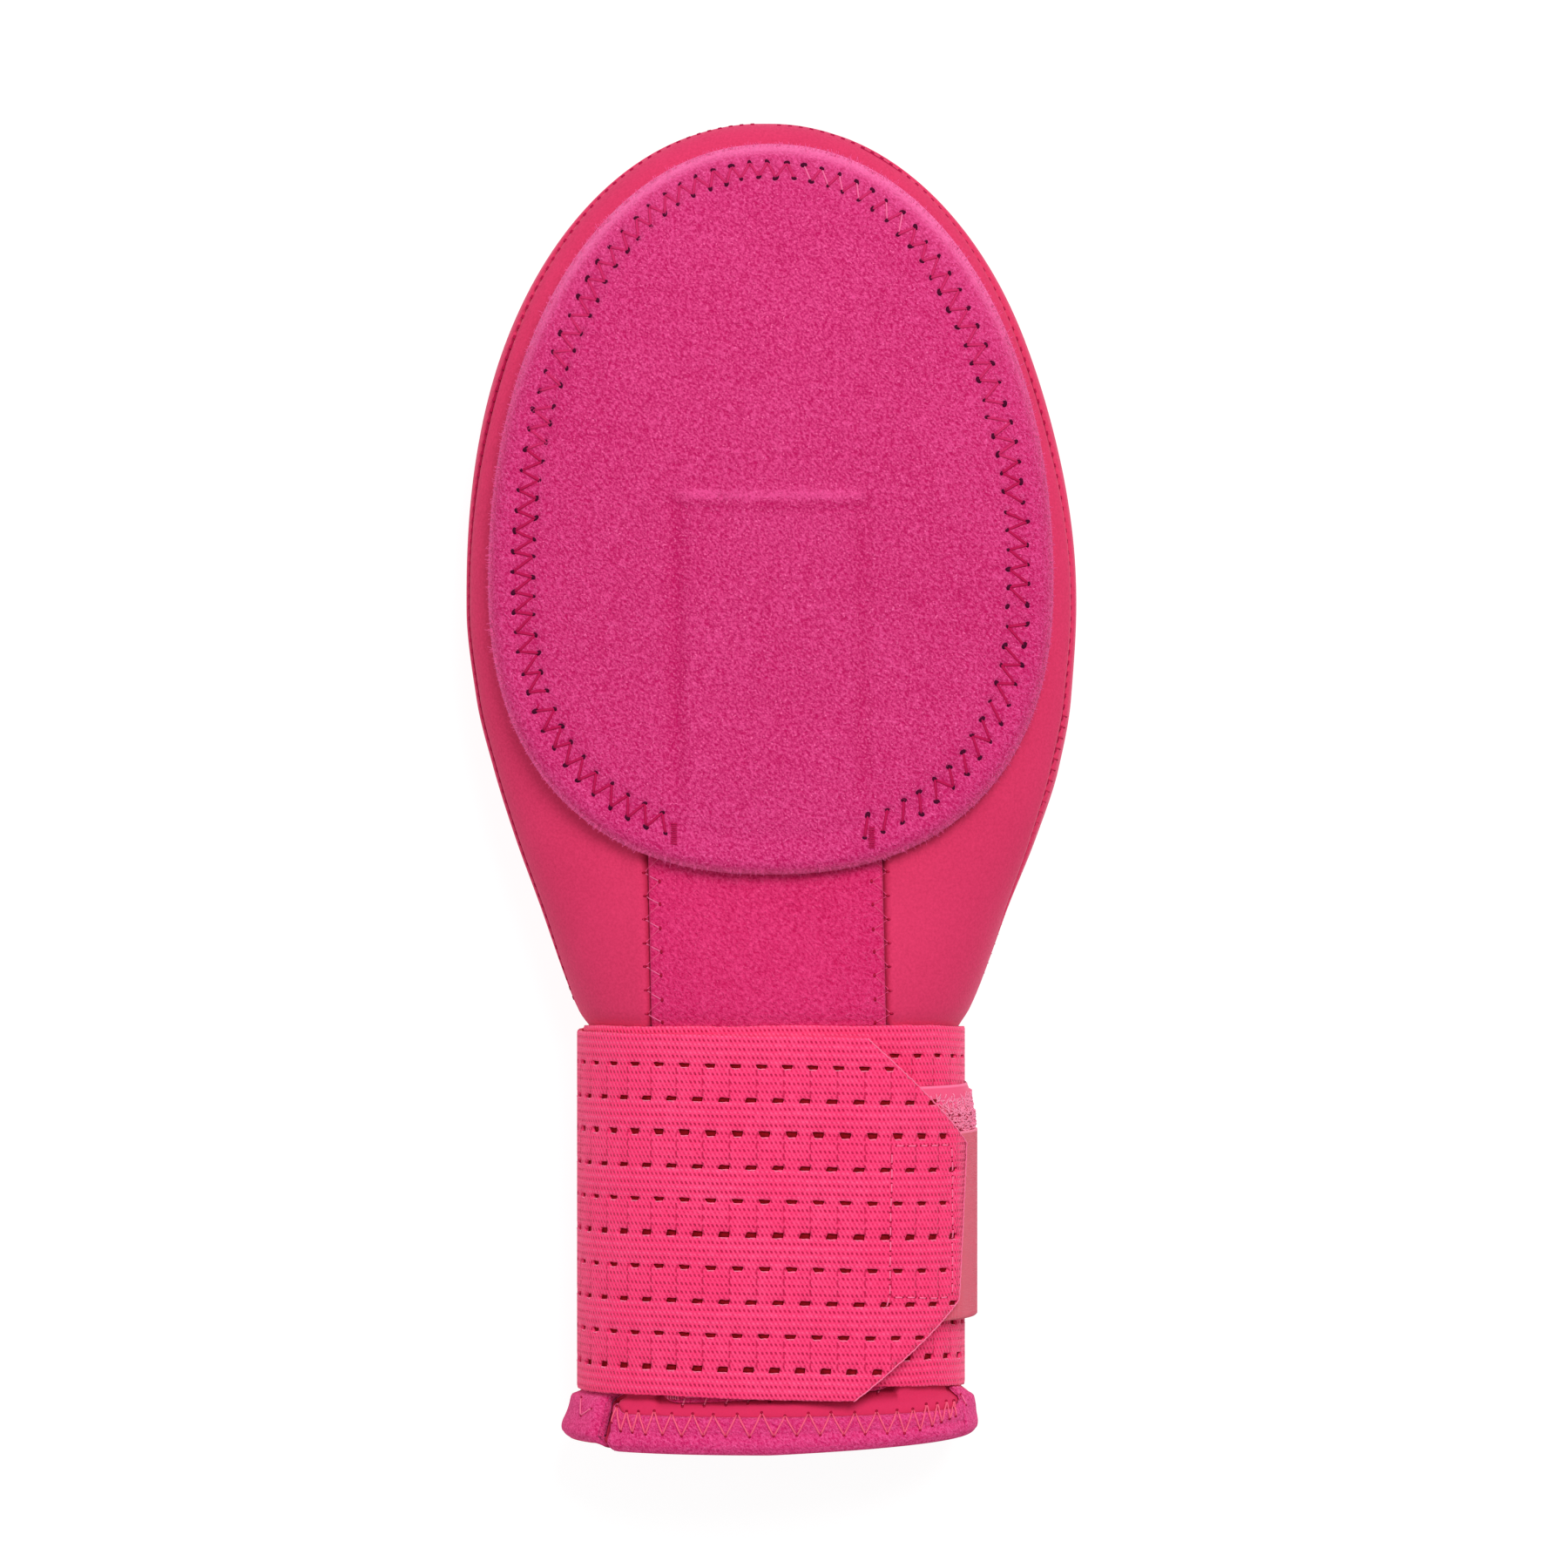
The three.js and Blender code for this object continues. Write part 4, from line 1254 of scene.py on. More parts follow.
def build_pad(top_z):
    """The cover's grid, closed by rings that run back under the pad to its middle."""
    size = 2 * PAD_RINGS + 1
    top = np.stack([pad_x, pad_y, top_z], axis=-1).reshape(-1, 3)
    faces = grid_faces(size, size).tolist()
    rim = ring_of_grid(PAD_RINGS)
    rim_turn = turn.reshape(-1)[rim]
    points, previous = [top], rim
    notes = [np.dstack([pad_x, pad_y, from_edge]).reshape(-1, 3)]
    for share, low in UNDERSIDE:
        edge = pad_outline(rim_turn) - [0, PAD_WIDE_Y]
        x, y = share * edge[:, 0], PAD_WIDE_Y + share * edge[:, 1]
        under, over = pad_under(x, y), pad_over(x, y)
        start = sum(len(part) for part in points)
        points.append(np.stack([x, y, under + (over - under) * low], axis=-1))
        notes.append(np.stack([x, y, 0 * x - 1], axis=-1))
        current = start + np.arange(len(rim))
        ring = [previous, np.roll(previous, -1), np.roll(current, -1), current]
        faces += np.stack(ring, axis=-1).tolist()
        previous = current
    start = sum(len(part) for part in points)
    points.append(np.array([[0, PAD_WIDE_Y, pad_under(np.array(0.0), np.array(PAD_WIDE_Y))]]))
    notes.append(np.array([[0, PAD_WIDE_Y, -1]]))
    faces += [[a, b, start] for a, b in zip(previous, np.roll(previous, -1))]
    return make_piece("pad", np.concatenate(points), faces, PAD_FLEECE, "pad_cover", ["palm_pad"],
                      np.concatenate(notes))


pad = build_pad(top_z)

# %% [markdown]
# Against the smooth neoprene the nap shows as a soft light fringe. Particle hair would have to be
# turned into meshes, so a few thousand short bent fibres are made as thin tubes, at the rim only,
# where the nap is seen against something else.

# %% Nap that stands out at the rim
RIM_FIBRES = 4200


def rim_nap():
    """Paths of short bent fibres round the rim."""
    foot = spaced(inside_outline(0.5), random.uniform(0, outline_length - 4, RIM_FIBRES))
    foot -= 0.5 * random.uniform(0, 1, (RIM_FIBRES, 1)) * (foot - [0, PAD_WIDE_Y]) / 60
    height = pad_over(*foot.T) - PAD_THICK * random.uniform(0.05, 0.6, RIM_FIBRES)
    out = foot - [0, PAD_WIDE_Y]
    out /= np.linalg.norm(out, axis=1, keepdims=True)
    way = np.column_stack([out, random.uniform(-0.1, 0.9, RIM_FIBRES)])
    way = way + random.normal(0, 0.45, way.shape)
    length = random.uniform(0.3, 0.75, RIM_FIBRES)[:, None]
    bend = random.normal(0, 0.15, (RIM_FIBRES, 3))
    t = np.linspace(0, 1, 4)[:, None, None]
    paths = np.column_stack([foot, height]) + t * way * length + t ** 2 * bend
    return np.moveaxis(paths, 0, 1)


sew("pad_rim_nap", rim_nap(), 0.055, NAP, "pad_cover", 3)

# %% [markdown]
# The strap is cut from flat elastic, so it is built flat first: a grid with its holes left out
# and its corners cut off, and only then wound round the wrist one and a half times. Winding a
# flat pattern keeps every hole the same size, which boolean cuts on the round band would not.

# %% Where the strap runs
STRAP_Y = -95.0
STRAP_LOW = -133.7
ELASTIC = 1.2
LAYER = ELASTIC + GAP
FASTENER = 1.1
CLOSURE = 2 * (FASTENER + GAP)
START_ANGLE = 200.0
TURN = 529.0
SECOND = GAP + LAYER
OVER_CLOSURE = SECOND + CLOSURE
PAST_TIP = 20
WINDING_STEPS = 1700
# Columns: degrees travelled from the start, distance from the shell, drift in Y.
WINDING = np.array([
    [0, GAP, -1.9], [50, GAP, -0.8], [110, GAP, 0], [165, GAP, -0.5], [200, GAP, -1.7],
    [325, GAP, -1.8], [355, SECOND, -2], [380, SECOND, -2.4], [441, SECOND, -2.05],
    [468, SECOND, -2.4], [476, SECOND, -2.55], [492, OVER_CLOSURE, -2.8],
    [519, OVER_CLOSURE, -3.3], [TURN + PAST_TIP, OVER_CLOSURE, -3.5],
])


class Winding:
    """A flat strip's middle line round the wrist: distances along it become places."""

    def __init__(self, turns, grows, drifts):
        angles = np.radians(START_ANGLE - turns)
        points = shell_point(np.full(len(turns), STRAP_Y), grows, angles)
        steps = np.linalg.norm(np.diff(points, axis=0), axis=1)
        self.along = np.concatenate([[0], np.cumsum(steps)])
        self.length = self.along[-1]
        ahead = np.gradient(points, axis=0)
        ahead /= np.linalg.norm(ahead, axis=1, keepdims=True)
        out = np.stack([-ahead[:, 2], 0 * ahead[:, 0], ahead[:, 0]], axis=-1)
        self.rows = np.concatenate([points, out, drifts[:, None]], axis=1)

    def __call__(self, flat, height):
        """Places of flat points (along, y) lifted off the middle of the cloth."""
        columns = [np.interp(flat[:, 0], self.along, column) for column in self.rows.T]
        row = np.stack(columns, axis=-1)
        points = row[:, :3] + row[:, 3:6] * np.asarray(height)[:, None]
        points[:, 1] = flat[:, 1] + row[:, 6]
        return points


def strap_winding(until):
    turns = np.linspace(0, until, WINDING_STEPS)
    grows = np.interp(turns, WINDING[:, 0], WINDING[:, 1]) + ELASTIC / 2
    return Winding(turns, grows, np.interp(turns, WINDING[:, 0], WINDING[:, 2]))


STRAP_LENGTH = strap_winding(TURN).length
strap_path = strap_winding(TURN + PAST_TIP)
print("strap length:", round(STRAP_LENGTH, 1), "mm")

# %% [markdown]
# Ten rows of small slots let the band breathe, each row half a pitch beside the next. They are
# counted from the strap's tip, where the photograph shows them best, and no two rows of them are
# quite equally tall, as in knitted elastic that has been stretched.

# %% Where the holes are
HOLE_ROWS = 10
HOLE_HEIGHTS = np.array([0.9, 1.0, 1.3, 0.95, 0.9, 1.25, 0.95, 1.0, 0.95, 1.25])
# How far the corners of a hole lie from a rectangle's: lower left, lower right and upper left.
HOLE_CORNERS = np.array([[0.38, -0.22, -0.1], [-0.18, -0.12, 0.24]])
TIP_LOW = {"run": 27.0, "rise": 21.9}
TIP_HIGH = {"run": 24.2, "rise": 20.8}
TIP_SKEW = 3.2
END_SLOPE = TIP_SKEW / (STRAP_WIDTH - TIP_LOW["rise"] - TIP_HIGH["rise"])
TOOTH = 0.05
FIRST_HOLE = 8.1
STRETCHED_HOLE = 10.7
# Columns: number of the hole, counted from the tip, and its distance from the tip.
# The cloth is stretched a little more from the left side of the wrist on.
HOLE_PLACES = np.array([[number, start + number * HOLE_PITCH] for number, start in (
    (-2, FIRST_HOLE), (16, FIRST_HOLE), (29, STRETCHED_HOLE), (70, STRETCHED_HOLE))])


def hole_number(along):
    return np.interp(STRAP_LENGTH - along, HOLE_PLACES[:, 1], HOLE_PLACES[:, 0])


def hole_place(number):
    return STRAP_LENGTH - np.interp(number, HOLE_PLACES[:, 0], HOLE_PLACES[:, 1])


row_levels = STRAP_WIDTH - HOLE_EDGE - ROW_PITCH * np.arange(HOLE_ROWS)


def strap_holes():
    """Middles of all holes, as distance along, height across and the number of the row."""
    found = []
    for k, level in enumerate(row_levels):
        for number in np.arange(-1, 60) + (k + 1) % 2 / 2:
            along = float(hole_place(number))
            past = along - STRAP_LENGTH
            low, high = [max(0, past + tip["run"]) * tip["rise"] / tip["run"]
                         for tip in (TIP_LOW, TIP_HIGH)]
            if along > 4 and min(level - low, STRAP_WIDTH - level - high) > -1:
                found.append((along, level, k))
    return np.array(found)


hole_middles = strap_holes()
print("holes in the strap:", len(hole_middles))

# %% [markdown]
# The flat pattern is a grid whose lines run through the edges of all the holes, so a hole is made
# by leaving out its cells. The corners of the tip are cut with planes afterwards. Near the tip
# the woven edges are tighter than the middle, which draws the holes there back a little.

# %% The flat pattern of the strap
DRAWN_SHARE = 0.045
DRAWN_FROM = 62


def drawn_back(along, level):
    """How far the tight edges of the band draw the cloth back from the tip."""
    taut = smoothstep(level, 66, 72) + smoothstep(-level, -16, -10)
    return DRAWN_SHARE * np.maximum(0, along - STRAP_LENGTH + DRAWN_FROM) * taut


def strap_pattern():
    """A grid whose lines pass through the edges of the holes, without the cells of the holes."""
    half = HOLE_LENGTH / 2
    columns = hole_place(np.arange(-2, 120) / 2)
    lines = (columns[:, None] + half * np.array([-1, -1 / 3, 1 / 3, 1])).ravel()
    ends = [0, 0.4, 1.4, STRAP_LENGTH + 4.5, STRAP_LENGTH + 6]
    along = np.unique(np.round(np.concatenate([ends, lines[lines > 2.2]]), 3))
    first, last = row_levels[0] + HOLE_HEIGHTS[0] / 2, row_levels[-1] - HOLE_HEIGHTS[-1] / 2
    levels = [0, 0.35, 1.1, 3, last - 0.3, first + 0.3]
    levels += [STRAP_WIDTH - inset for inset in (3.6, 1.6, 0.35, 0)]
    for k, level in enumerate(row_levels):
        tall = HOLE_HEIGHTS[k]
        levels += [level - tall / 2, level, level + tall / 2]
        if k:
            low, high = level + tall / 2, level + ROW_PITCH - HOLE_HEIGHTS[k - 1] / 2
            levels += [low + 0.3, (low + high) / 2, high - 0.3]
    levels = np.unique(np.round(levels, 3))
    points = np.stack(np.meshgrid(along, levels, indexing="ij"), axis=-1)
    keep = np.ones((len(along) - 1, len(levels) - 1), bool)
    middle_along = (along[:-1] + along[1:]) / 2
    middle_level = (levels[:-1] + levels[1:]) / 2
    for hole_along, level, k in hole_middles:
        tall = HOLE_HEIGHTS[int(k)]
        cells = np.flatnonzero(np.abs(middle_along - hole_along) < half)
        rows = np.flatnonzero(np.abs(middle_level - level) < tall / 2)
        keep[np.ix_(cells, rows)] = False
        inner = np.arange(cells[0], cells[-1] + 2)
        lean = random.normal(0, 0.03, len(inner))
        lean[1:-1] += TOOTH * np.array([1, -1])[: len(inner) - 2]
        points[inner, rows[-1] + 1, 1] += lean
        points[inner, rows[0], 1] += lean[::-1] * 1.2
        corners = ([inner[0], inner[-1], inner[0]], [rows[0], rows[0], rows[-1] + 1])
        points[(*corners, 0)] += HOLE_CORNERS[int(k) % 2]
    points[..., 0] -= drawn_back(points[..., 0], points[..., 1])
    line = np.column_stack([along, 0 * along, 0 * along])
    for edge in (0, -1):
        points[:, edge, 1] += waves(line, 22, 0.35, 21 + edge)
        points[:, edge, 1] += random.normal(0, 0.05, len(along))
    return points.reshape(-1, 2), grid_faces(len(along), len(levels))[keep.ravel()]


whole_pattern = strap_pattern()
print("strap pattern with square corners:", len(whole_pattern[1]), "cells")


# %% Cut the strap's tip
def cut_tip(points, faces):
    """Cuts the strap's corners off and its end a little askew."""
    flat = bmesh.new()
    verts = [flat.verts.new((x, y, 0)) for x, y in points]
    for face in faces:
        flat.faces.new([verts[i] for i in face])
    low_corner = (STRAP_LENGTH - TIP_LOW["run"], 0, 0)
    high_corner = (STRAP_LENGTH - TIP_HIGH["run"], STRAP_WIDTH, 0)
    cuts = [(low_corner, (TIP_LOW["rise"], -TIP_LOW["run"], 0)),
            (high_corner, (TIP_HIGH["rise"], TIP_HIGH["run"], 0)),
            ((STRAP_LENGTH, TIP_LOW["rise"], 0), (1, -END_SLOPE, 0))]
    for corner, way in cuts:
        geometry = flat.verts[:] + flat.edges[:] + flat.faces[:]
        bmesh.ops.bisect_plane(flat, geom=geometry, plane_co=corner, plane_no=way,
                               clear_outer=True, dist=1e-4)
    bmesh.ops.delete(flat, geom=[v for v in flat.verts if not v.link_faces], context="VERTS")
    flat.verts.index_update()
    cut_points = np.array([v.co[:2] for v in flat.verts])
    cut_faces = [[v.index for v in face.verts] for face in flat.faces]
    flat.free()
    return cut_points, cut_faces


pattern_points, pattern_faces = cut_tip(*whole_pattern)
print("strap pattern with its tip cut:", len(pattern_faces), "cells")

# %% [markdown]
# Now the pattern gets a second face below it, and walls along every border, the holes' borders
# too. A Solidify modifier does the same on flat cloth, but here both faces are placed by the
# winding, and the border of the upper face is set a little lower, so no edge looks cut by a knife.


# %% Give a flat pattern its thickness and wind it
def wound_sheet(name, flat, faces, path, thickness, low, material, slot, replaces,
                notes=None, soften=0.3, thin=0.0):
    """A flat pattern with softened edges, laid along a winding; thin takes some thickness off."""
    count = len(flat)
    edges = {}
    for face in faces:
        for a, b in zip(face, [*face[1:], face[0]]):
            edges.setdefault((min(a, b), max(a, b)), []).append((a, b))
    border = [pairs[0] for pairs in edges.values() if len(pairs) == 1]
    height = np.full(count, thickness / 2) - thin
    bottom = np.full(count, -thickness / 2)
    height[np.unique(np.array(border))] -= soften
    placed = np.stack([flat[:, 0], flat[:, 1] + low], axis=-1)
    both = np.concatenate([path(placed, height), path(placed, bottom)])
    all_faces = [list(face) for face in faces]
    all_faces += [[i + count for i in face[::-1]] for face in faces]
    all_faces += [[b, a, a + count, b + count] for a, b in border]
    notes = flat if notes is None else notes
    notes = np.concatenate([np.column_stack([notes, height]), np.column_stack([notes, bottom])])
    return make_piece(name, both, all_faces, material, slot, replaces, attribute=notes)


along = pattern_points[:, 0]
knit_notes = np.column_stack([-hole_number(along) * HOLE_PITCH, pattern_points[:, 1]])
knit_notes[:, 0] += np.maximum(along - STRAP_LENGTH, 0)
strap = wound_sheet("strap", pattern_points, pattern_faces, strap_path, ELASTIC, STRAP_LOW,
                    ELASTIC_KNIT, "strap_elastic", ["wrist_strap"], knit_notes, 0.16)

# %% [markdown]
# Through a slot the eye meets shade, so a dark plate of painted shade lies in each one, and the
# slot's lower lip gets a tube of pale yarn as a painted highlight. Both are small pieces of their
# own in the right places, because a shader could only paint them flat.


# %% Painted shade in the holes
def on_strap(flat, height):
    return strap_path(np.column_stack([flat[:, 0], flat[:, 1] + STRAP_LOW]), ELASTIC / 2 + height)


def plates(place, middles, half_sizes, low, high):
    """Small closed blocks let into the cloth."""
    corners = np.array([[-1, -1], [1, -1], [1, 1], [-1, 1]])
    flat = (middles[:, None] + corners * half_sizes[:, None]).reshape(-1, 2)
    count = len(middles)
    ends = [place(flat, np.full(len(flat), level)).reshape(count, 4, 3) for level in (low, high)]
    points = np.stack(ends, axis=1)
    faces = [[3, 2, 1, 0], [4, 5, 6, 7]]
    faces += [[i, (i + 1) % 4, (i + 1) % 4 + 4, i + 4] for i in range(4)]
    faces = (np.array(faces)[None] + np.arange(count)[:, None, None] * 8).reshape(-1, 4)
    return points.reshape(-1, 3), faces


tall = HOLE_HEIGHTS[hole_middles[:, 2].astype(int)]
half_sizes = np.column_stack([np.full(len(tall), HOLE_LENGTH / 2 + 0.15), tall / 2 + 0.25])
middles = hole_middles[:, :2].copy()
middles[:, 0] -= drawn_back(*middles.T)
# Dark plates of painted shade, inside each hole.
depths = plates(on_strap, middles, half_sizes, -0.95, -0.75)
make_piece("strap_hole_depths", *depths, HOLE_SHADE_PLATE, "strap_elastic")

# %% Pale yarn at the holes' lower lips, a painted highlight, and a pale bead along the cut edge
# Painted highlight: a pale tube along each hole's lower lip.
lip = np.linspace(-1, 1, 5)[:, None] * [HOLE_LENGTH / 2 - 0.2, 0]
lip = middles[:, None] - np.stack([0 * tall, tall / 2 + 0.12], axis=-1)[:, None] + lip
lip += random.normal(0, 0.04, lip.shape)
lip = lip[(middles[:, 0] < STRAP_LENGTH - 6) | (middles[:, 1] < 50)]
height = np.tile([-0.3, 0.0, 0.03, 0.0, -0.3], len(lip))
paths = on_strap(lip.reshape(-1, 2), height).reshape(-1, 5, 3)
sew("strap_hole_lips", paths, 0.09, LIP_HIGHLIGHT, "strap_elastic", 5)


def cut_edge():
    """Points along the strap's cut corners and end, a little inside the edge."""
    fall = TIP_HIGH["rise"] / TIP_HIGH["run"]
    up = STRAP_WIDTH - fall * TIP_HIGH["run"] + fall * END_SLOPE * TIP_LOW["rise"]
    up /= 1 + fall * END_SLOPE
    corners = [(-TIP_HIGH["run"], STRAP_WIDTH), (END_SLOPE * (up - TIP_LOW["rise"]), up),
               (0, TIP_LOW["rise"]), (-TIP_LOW["run"], 0)]
    line = np.array(corners, float) + [STRAP_LENGTH - 0.1, 0]
    return spaced(line, np.arange(0.2, length_of(line), 0.38))


edge = cut_edge()
edge += random.normal(0, 0.05, edge.shape)
# A bead of the strap's own cut edge; its pale colour is partly a painted highlight.
bead = on_strap(edge, np.full(len(edge), -0.14) + random.normal(0, 0.02, len(edge)))
sew("strap_cut_edge", bead[None], 0.17, PALE_THREAD, "strap_elastic")

# %% [markdown]
# The closure sits on the right of the wrist: a patch of loop pile sewn to the first turn of the
# strap, and on it the ribbed tab that is sewn under the strap's tip. Each is a short strip on
# the same winding, and the pile gets real little loops where it shows.

# %% Loop patch and ribbed tab
CLOSURE_STEPS = 90


def closure_strip(name, spec, grow, material, slot, node, selvage):
    """One strip of the closure, thinner within the selvage along its upper edge."""
    turns = START_ANGLE - np.linspace(spec["from"], spec["to"], CLOSURE_STEPS)
    path = Winding(turns, np.full(CLOSURE_STEPS, grow + FASTENER / 2), np.zeros(CLOSURE_STEPS))
    along = np.linspace(0, path.length, 80)
    wide = width_of(spec)
    fine = np.linspace(wide - 4.5, wide - 0.5, 9)
    levels = np.concatenate([[0, 0.3], np.linspace(1, wide - 5, 18), fine, [wide - 0.2, wide]])
    points = np.stack(np.meshgrid(along, levels, indexing="ij"), axis=-1).reshape(-1, 2)
    thin = 0.8 * FASTENER * (1 - smoothstep(wide - points[:, 1], 0, selvage)) if selvage else 0.0
    faces = grid_faces(len(along), len(levels)).tolist()
    piece = wound_sheet(name, points, faces, path, FASTENER, spec["low"], material, slot, [node],
                        thin=thin)
    print(name, "flat size:", round(path.length, 1), "by", round(wide, 1), "mm")
    return path


loop_path = closure_strip("loop_base", LOOP_PATCH, SECOND, LOOP_PILE, "loop_pile", "loop_patch",
                          SELVAGE)
closure_strip("ribbed_tab_tape", HOOK_TAB, SECOND + FASTENER + GAP, RIBBED, "ribbed_tab",
              "hook_tab", 0)

# %% Little loops of the pile
# Fields that nothing covers: degrees from and to, heights from and to, and how many loops.
PILE_FIELDS = ((44, -25, 40.8, 48.0, 860), (-12, -25, 0.8, 40.8, 820))


def pile_loops():
    """Arches of yarn that stand on the patch and lean every way, where nothing covers them."""
    fields = []
    for high_angle, low_angle, low, high, count in PILE_FIELDS:
        angles = random.uniform(low_angle, high_angle, count)
        share = (LOOP_PATCH["from"] - angles) / (LOOP_PATCH["from"] - LOOP_PATCH["to"])
        along = np.interp(share, np.linspace(0, 1, CLOSURE_STEPS), loop_path.along)
        fields.append(np.column_stack([along, random.uniform(low, high, count)]))
    foot = np.concatenate(fields)
    count = len(foot)
    tall = random.uniform(0.7, 1.5, count) * (0.3 + 0.7 * smoothstep(48 - foot[:, 1], 0, 6))
    way = random.uniform(0, 2 * np.pi, count)
    width = random.uniform(0.45, 0.95, count)
    t = np.linspace(0, np.pi, 7)[:, None]
    aside = width * (0.5 - np.cos(t) / 2) * 1.6 + np.sin(t) * random.normal(0, 0.25, count)
    flat = foot + np.stack([aside * np.cos(way), aside * np.sin(way)], axis=-1)
    height = FASTENER / 2 - 0.3 + np.sin(t) * tall
    flat[..., 1] += LOOP_PATCH["low"]
    return np.moveaxis(loop_path(flat.reshape(-1, 2), height.ravel()).reshape(7, count, 3), 0, 1)


sew("pile_loops", pile_loops(), 0.18, LOOP_YARN, "loop_pile", 4)

# %% [markdown]
# A fleece tape is folded round the rim of the cuff, one length on the palm panel and one on the
# back panel. Its section is a narrow U with a soft fold, carried round the rim.


# %% Section and ends of the binding
BINDING_FACE = 8.5
BINDING_INSIDE = 7.4
FOLD = 1.2
PEAK = 0.7
VALLEY = -4.0
FLAP_CUT = 1.5
# Points of the section, from its outer edge to a little past the start of the fold.
FACE_POINTS = 16


def binding_profile(clear):
    """Places and heights from the outer edge round the fold to the inner edge."""
    middle = -NEOPRENE / 2
    half = NEOPRENE / 2 + GAP + clear
    fold_length = FOLD + clear
    fold_y = HEM_Y + FOLD + FLEECE
    turn = np.linspace(0, np.pi, 25)
    power = 2 / 2.6
    across = signed_power(np.cos(turn), power)
    down = np.abs(np.sin(turn)) ** power
    outside = np.linspace(HEM_Y + BINDING_FACE, fold_y, 14)[:-1]
    inside = np.linspace(fold_y, HEM_Y + BINDING_INSIDE, 10)[1:]
    y = np.concatenate([outside, fold_y - fold_length * down, inside])
    grow = middle + half * np.concatenate([np.ones(len(outside)), across, -np.ones(len(inside))])
    return y, grow


def end_rise(side, share, y):
    """Both ends of a binding run up towards the strap, far up on the back panel's flap."""
    if side == "palm":
        rise = 2.0 * (smoothstep(-share, -0.05, 0) + smoothstep(share, 0.94, 1))
    else:
        rise = 5.0 * (smoothstep(-share, -0.09, -0.03) + smoothstep(share, 0.83, 0.9))
    return rise * smoothstep(y, HEM_Y + 3, HEM_Y + BINDING_FACE)


print("points round the binding's fold:", len(binding_profile(FLEECE)[0]))


# %% Build both bindings
def cuff_binding(name, side, count):
    """The folded tape along one panel's rim: puffed at its fold, pulled down where it is sewn."""
    outer_y, outer_grow = binding_profile(FLEECE)
    inner_y, inner_grow = binding_profile(0.0)
    s = section(outer_y, outer_grow)
    share = clustered(count)
    angles = s.seam_right[:, None] + (left_end(outer_y, side) - s.seam_right)[:, None] * share
    on_face = (np.arange(len(outer_y)) < FACE_POINTS)[:, None]
    places = [y[:, None] + on_face * end_rise(side, share, y[:, None]) for y in (outer_y, inner_y)]
    sewn = np.exp(-((places[0] - HEM_Y - BINDING_FACE - VALLEY) / 0.9) ** 2)
    puffed = np.exp(-((places[0] - HEM_Y - 2.9) / 2.0) ** 2)
    relief = on_face * (0.3 * puffed - 0.4 * sewn * (side == "palm"))
    outer = panel_grid(places[0], outer_grow[:, None] + relief, angles, side)
    inner = panel_grid(places[1], inner_grow[:, None] + 0 * share, angles, side)
    flat = outer.reshape(-1, 3)
    cut = np.min([distance_to(line, flat) for line in (outer[:, 0], outer[0], outer[-1])], axis=0)
    crease = rolled(distance_to(outer[:, -1], flat), 2.2).reshape(outer.shape[:2])
    depth = rolled(cut, 0.7).reshape(outer.shape[:2])
    inward = inner - outer
    inward /= np.maximum(np.linalg.norm(inward, axis=-1, keepdims=True), 1e-6)
    crease *= smoothstep(outer_grow, -NEOPRENE / 2, 0)[:, None]
    outer = outer + inward * (crease + np.minimum(depth, 1.0))[..., None]
    inner = inner + inward * crease[..., None]
    outer[..., 2] = np.maximum(outer[..., 2], 0)
    if side == "back":
        for face in (outer, inner):
            low = smoothstep(-face[..., 1], 139, 148) * smoothstep(-face[..., 0], 34, 40)
            face[..., 1] += FLAP_CUT * low * (face[..., 2] > 4)
    points, faces = slab(outer, inner)
    return make_piece(name, points, faces, BINDING_FLEECE, "fleece",
                      replaces=[f"cuff_binding_{side}"])


binding_palm = cuff_binding("binding_palm", "palm", 130)
binding_back = cuff_binding("binding_back", "back", 150)

# %% [markdown]
# Sewing is what makes the pieces one mitt. The pad and the strip are held by zigzags that jump
# over their edge lines, the cuff by a zigzag in coral, and the tip of the strap by a box of
# straight stitches. All of them use the same few helpers. The pad's thread changes with the
# light: deep rose in the shade, darker near the fingertips, and lilac where it catches the light.

# %% Zigzag of the pad
SUNK = 0.08
SUNK_LOW_RIGHT = 0.55
on_pad = on_top_of(pad)
needle_x, needle_y = pad_needles[:-1].T
bright = (needle_x > 4) & (needle_x < 32) & (needle_y > 115) & (np.arange(len(needle_x)) % 2 == 0)
top = (needle_y > 72) & ~bright
legs = (("pad_zigzag", ~top & ~bright, 0.05, 0.34, ROSE_THREAD),
        ("pad_zigzag_top", top, 0.04, 0.33, TOP_THREAD),
        ("pad_zigzag_bright", bright, 0.1, 0.18, LILAC_THREAD))
for name, chosen, lift, radius, material in legs:
    backward = (np.arange(len(needle_x)) % 2 == 0)[chosen]
    low_right = (needle_x[chosen] > 15) & (needle_y[chosen] < 55)
    hidden = np.where(low_right & backward, SUNK_LOW_RIGHT, SUNK)
    lifts = lift - 0.4 * (random.random(len(hidden)) < hidden)
    starts, ends = pad_needles[:-1][chosen], pad_needles[1:][chosen]
    paths = stitches(on_pad, starts, ends, lifts[:, None], 0.6)
    tilt = random.uniform(-0.22, 0.12, (len(paths), 1))
    paths[..., 2] += tilt * np.linspace(-1, 1, paths.shape[1])
    sew(name, paths, radius, material)
hole_sizes = random.uniform(0.55, 0.9, len(pad_needles))
hole_twist = random.uniform(0, np.pi, len(pad_needles))
pierce("pad_needle_holes", on_pad, pad_needles, hole_sizes, HOLE_DARK, stretch=(1.0, 0.68),
       twist=hole_twist)

# %% Bartacks at both ends of the pad's zigzag
BARTACKS = [((-21.3, -9.4), (-21.3, -13.8)), ((22.3, -10.3), (22.3, -14.6))]
BARTACK_PITCH = 0.42


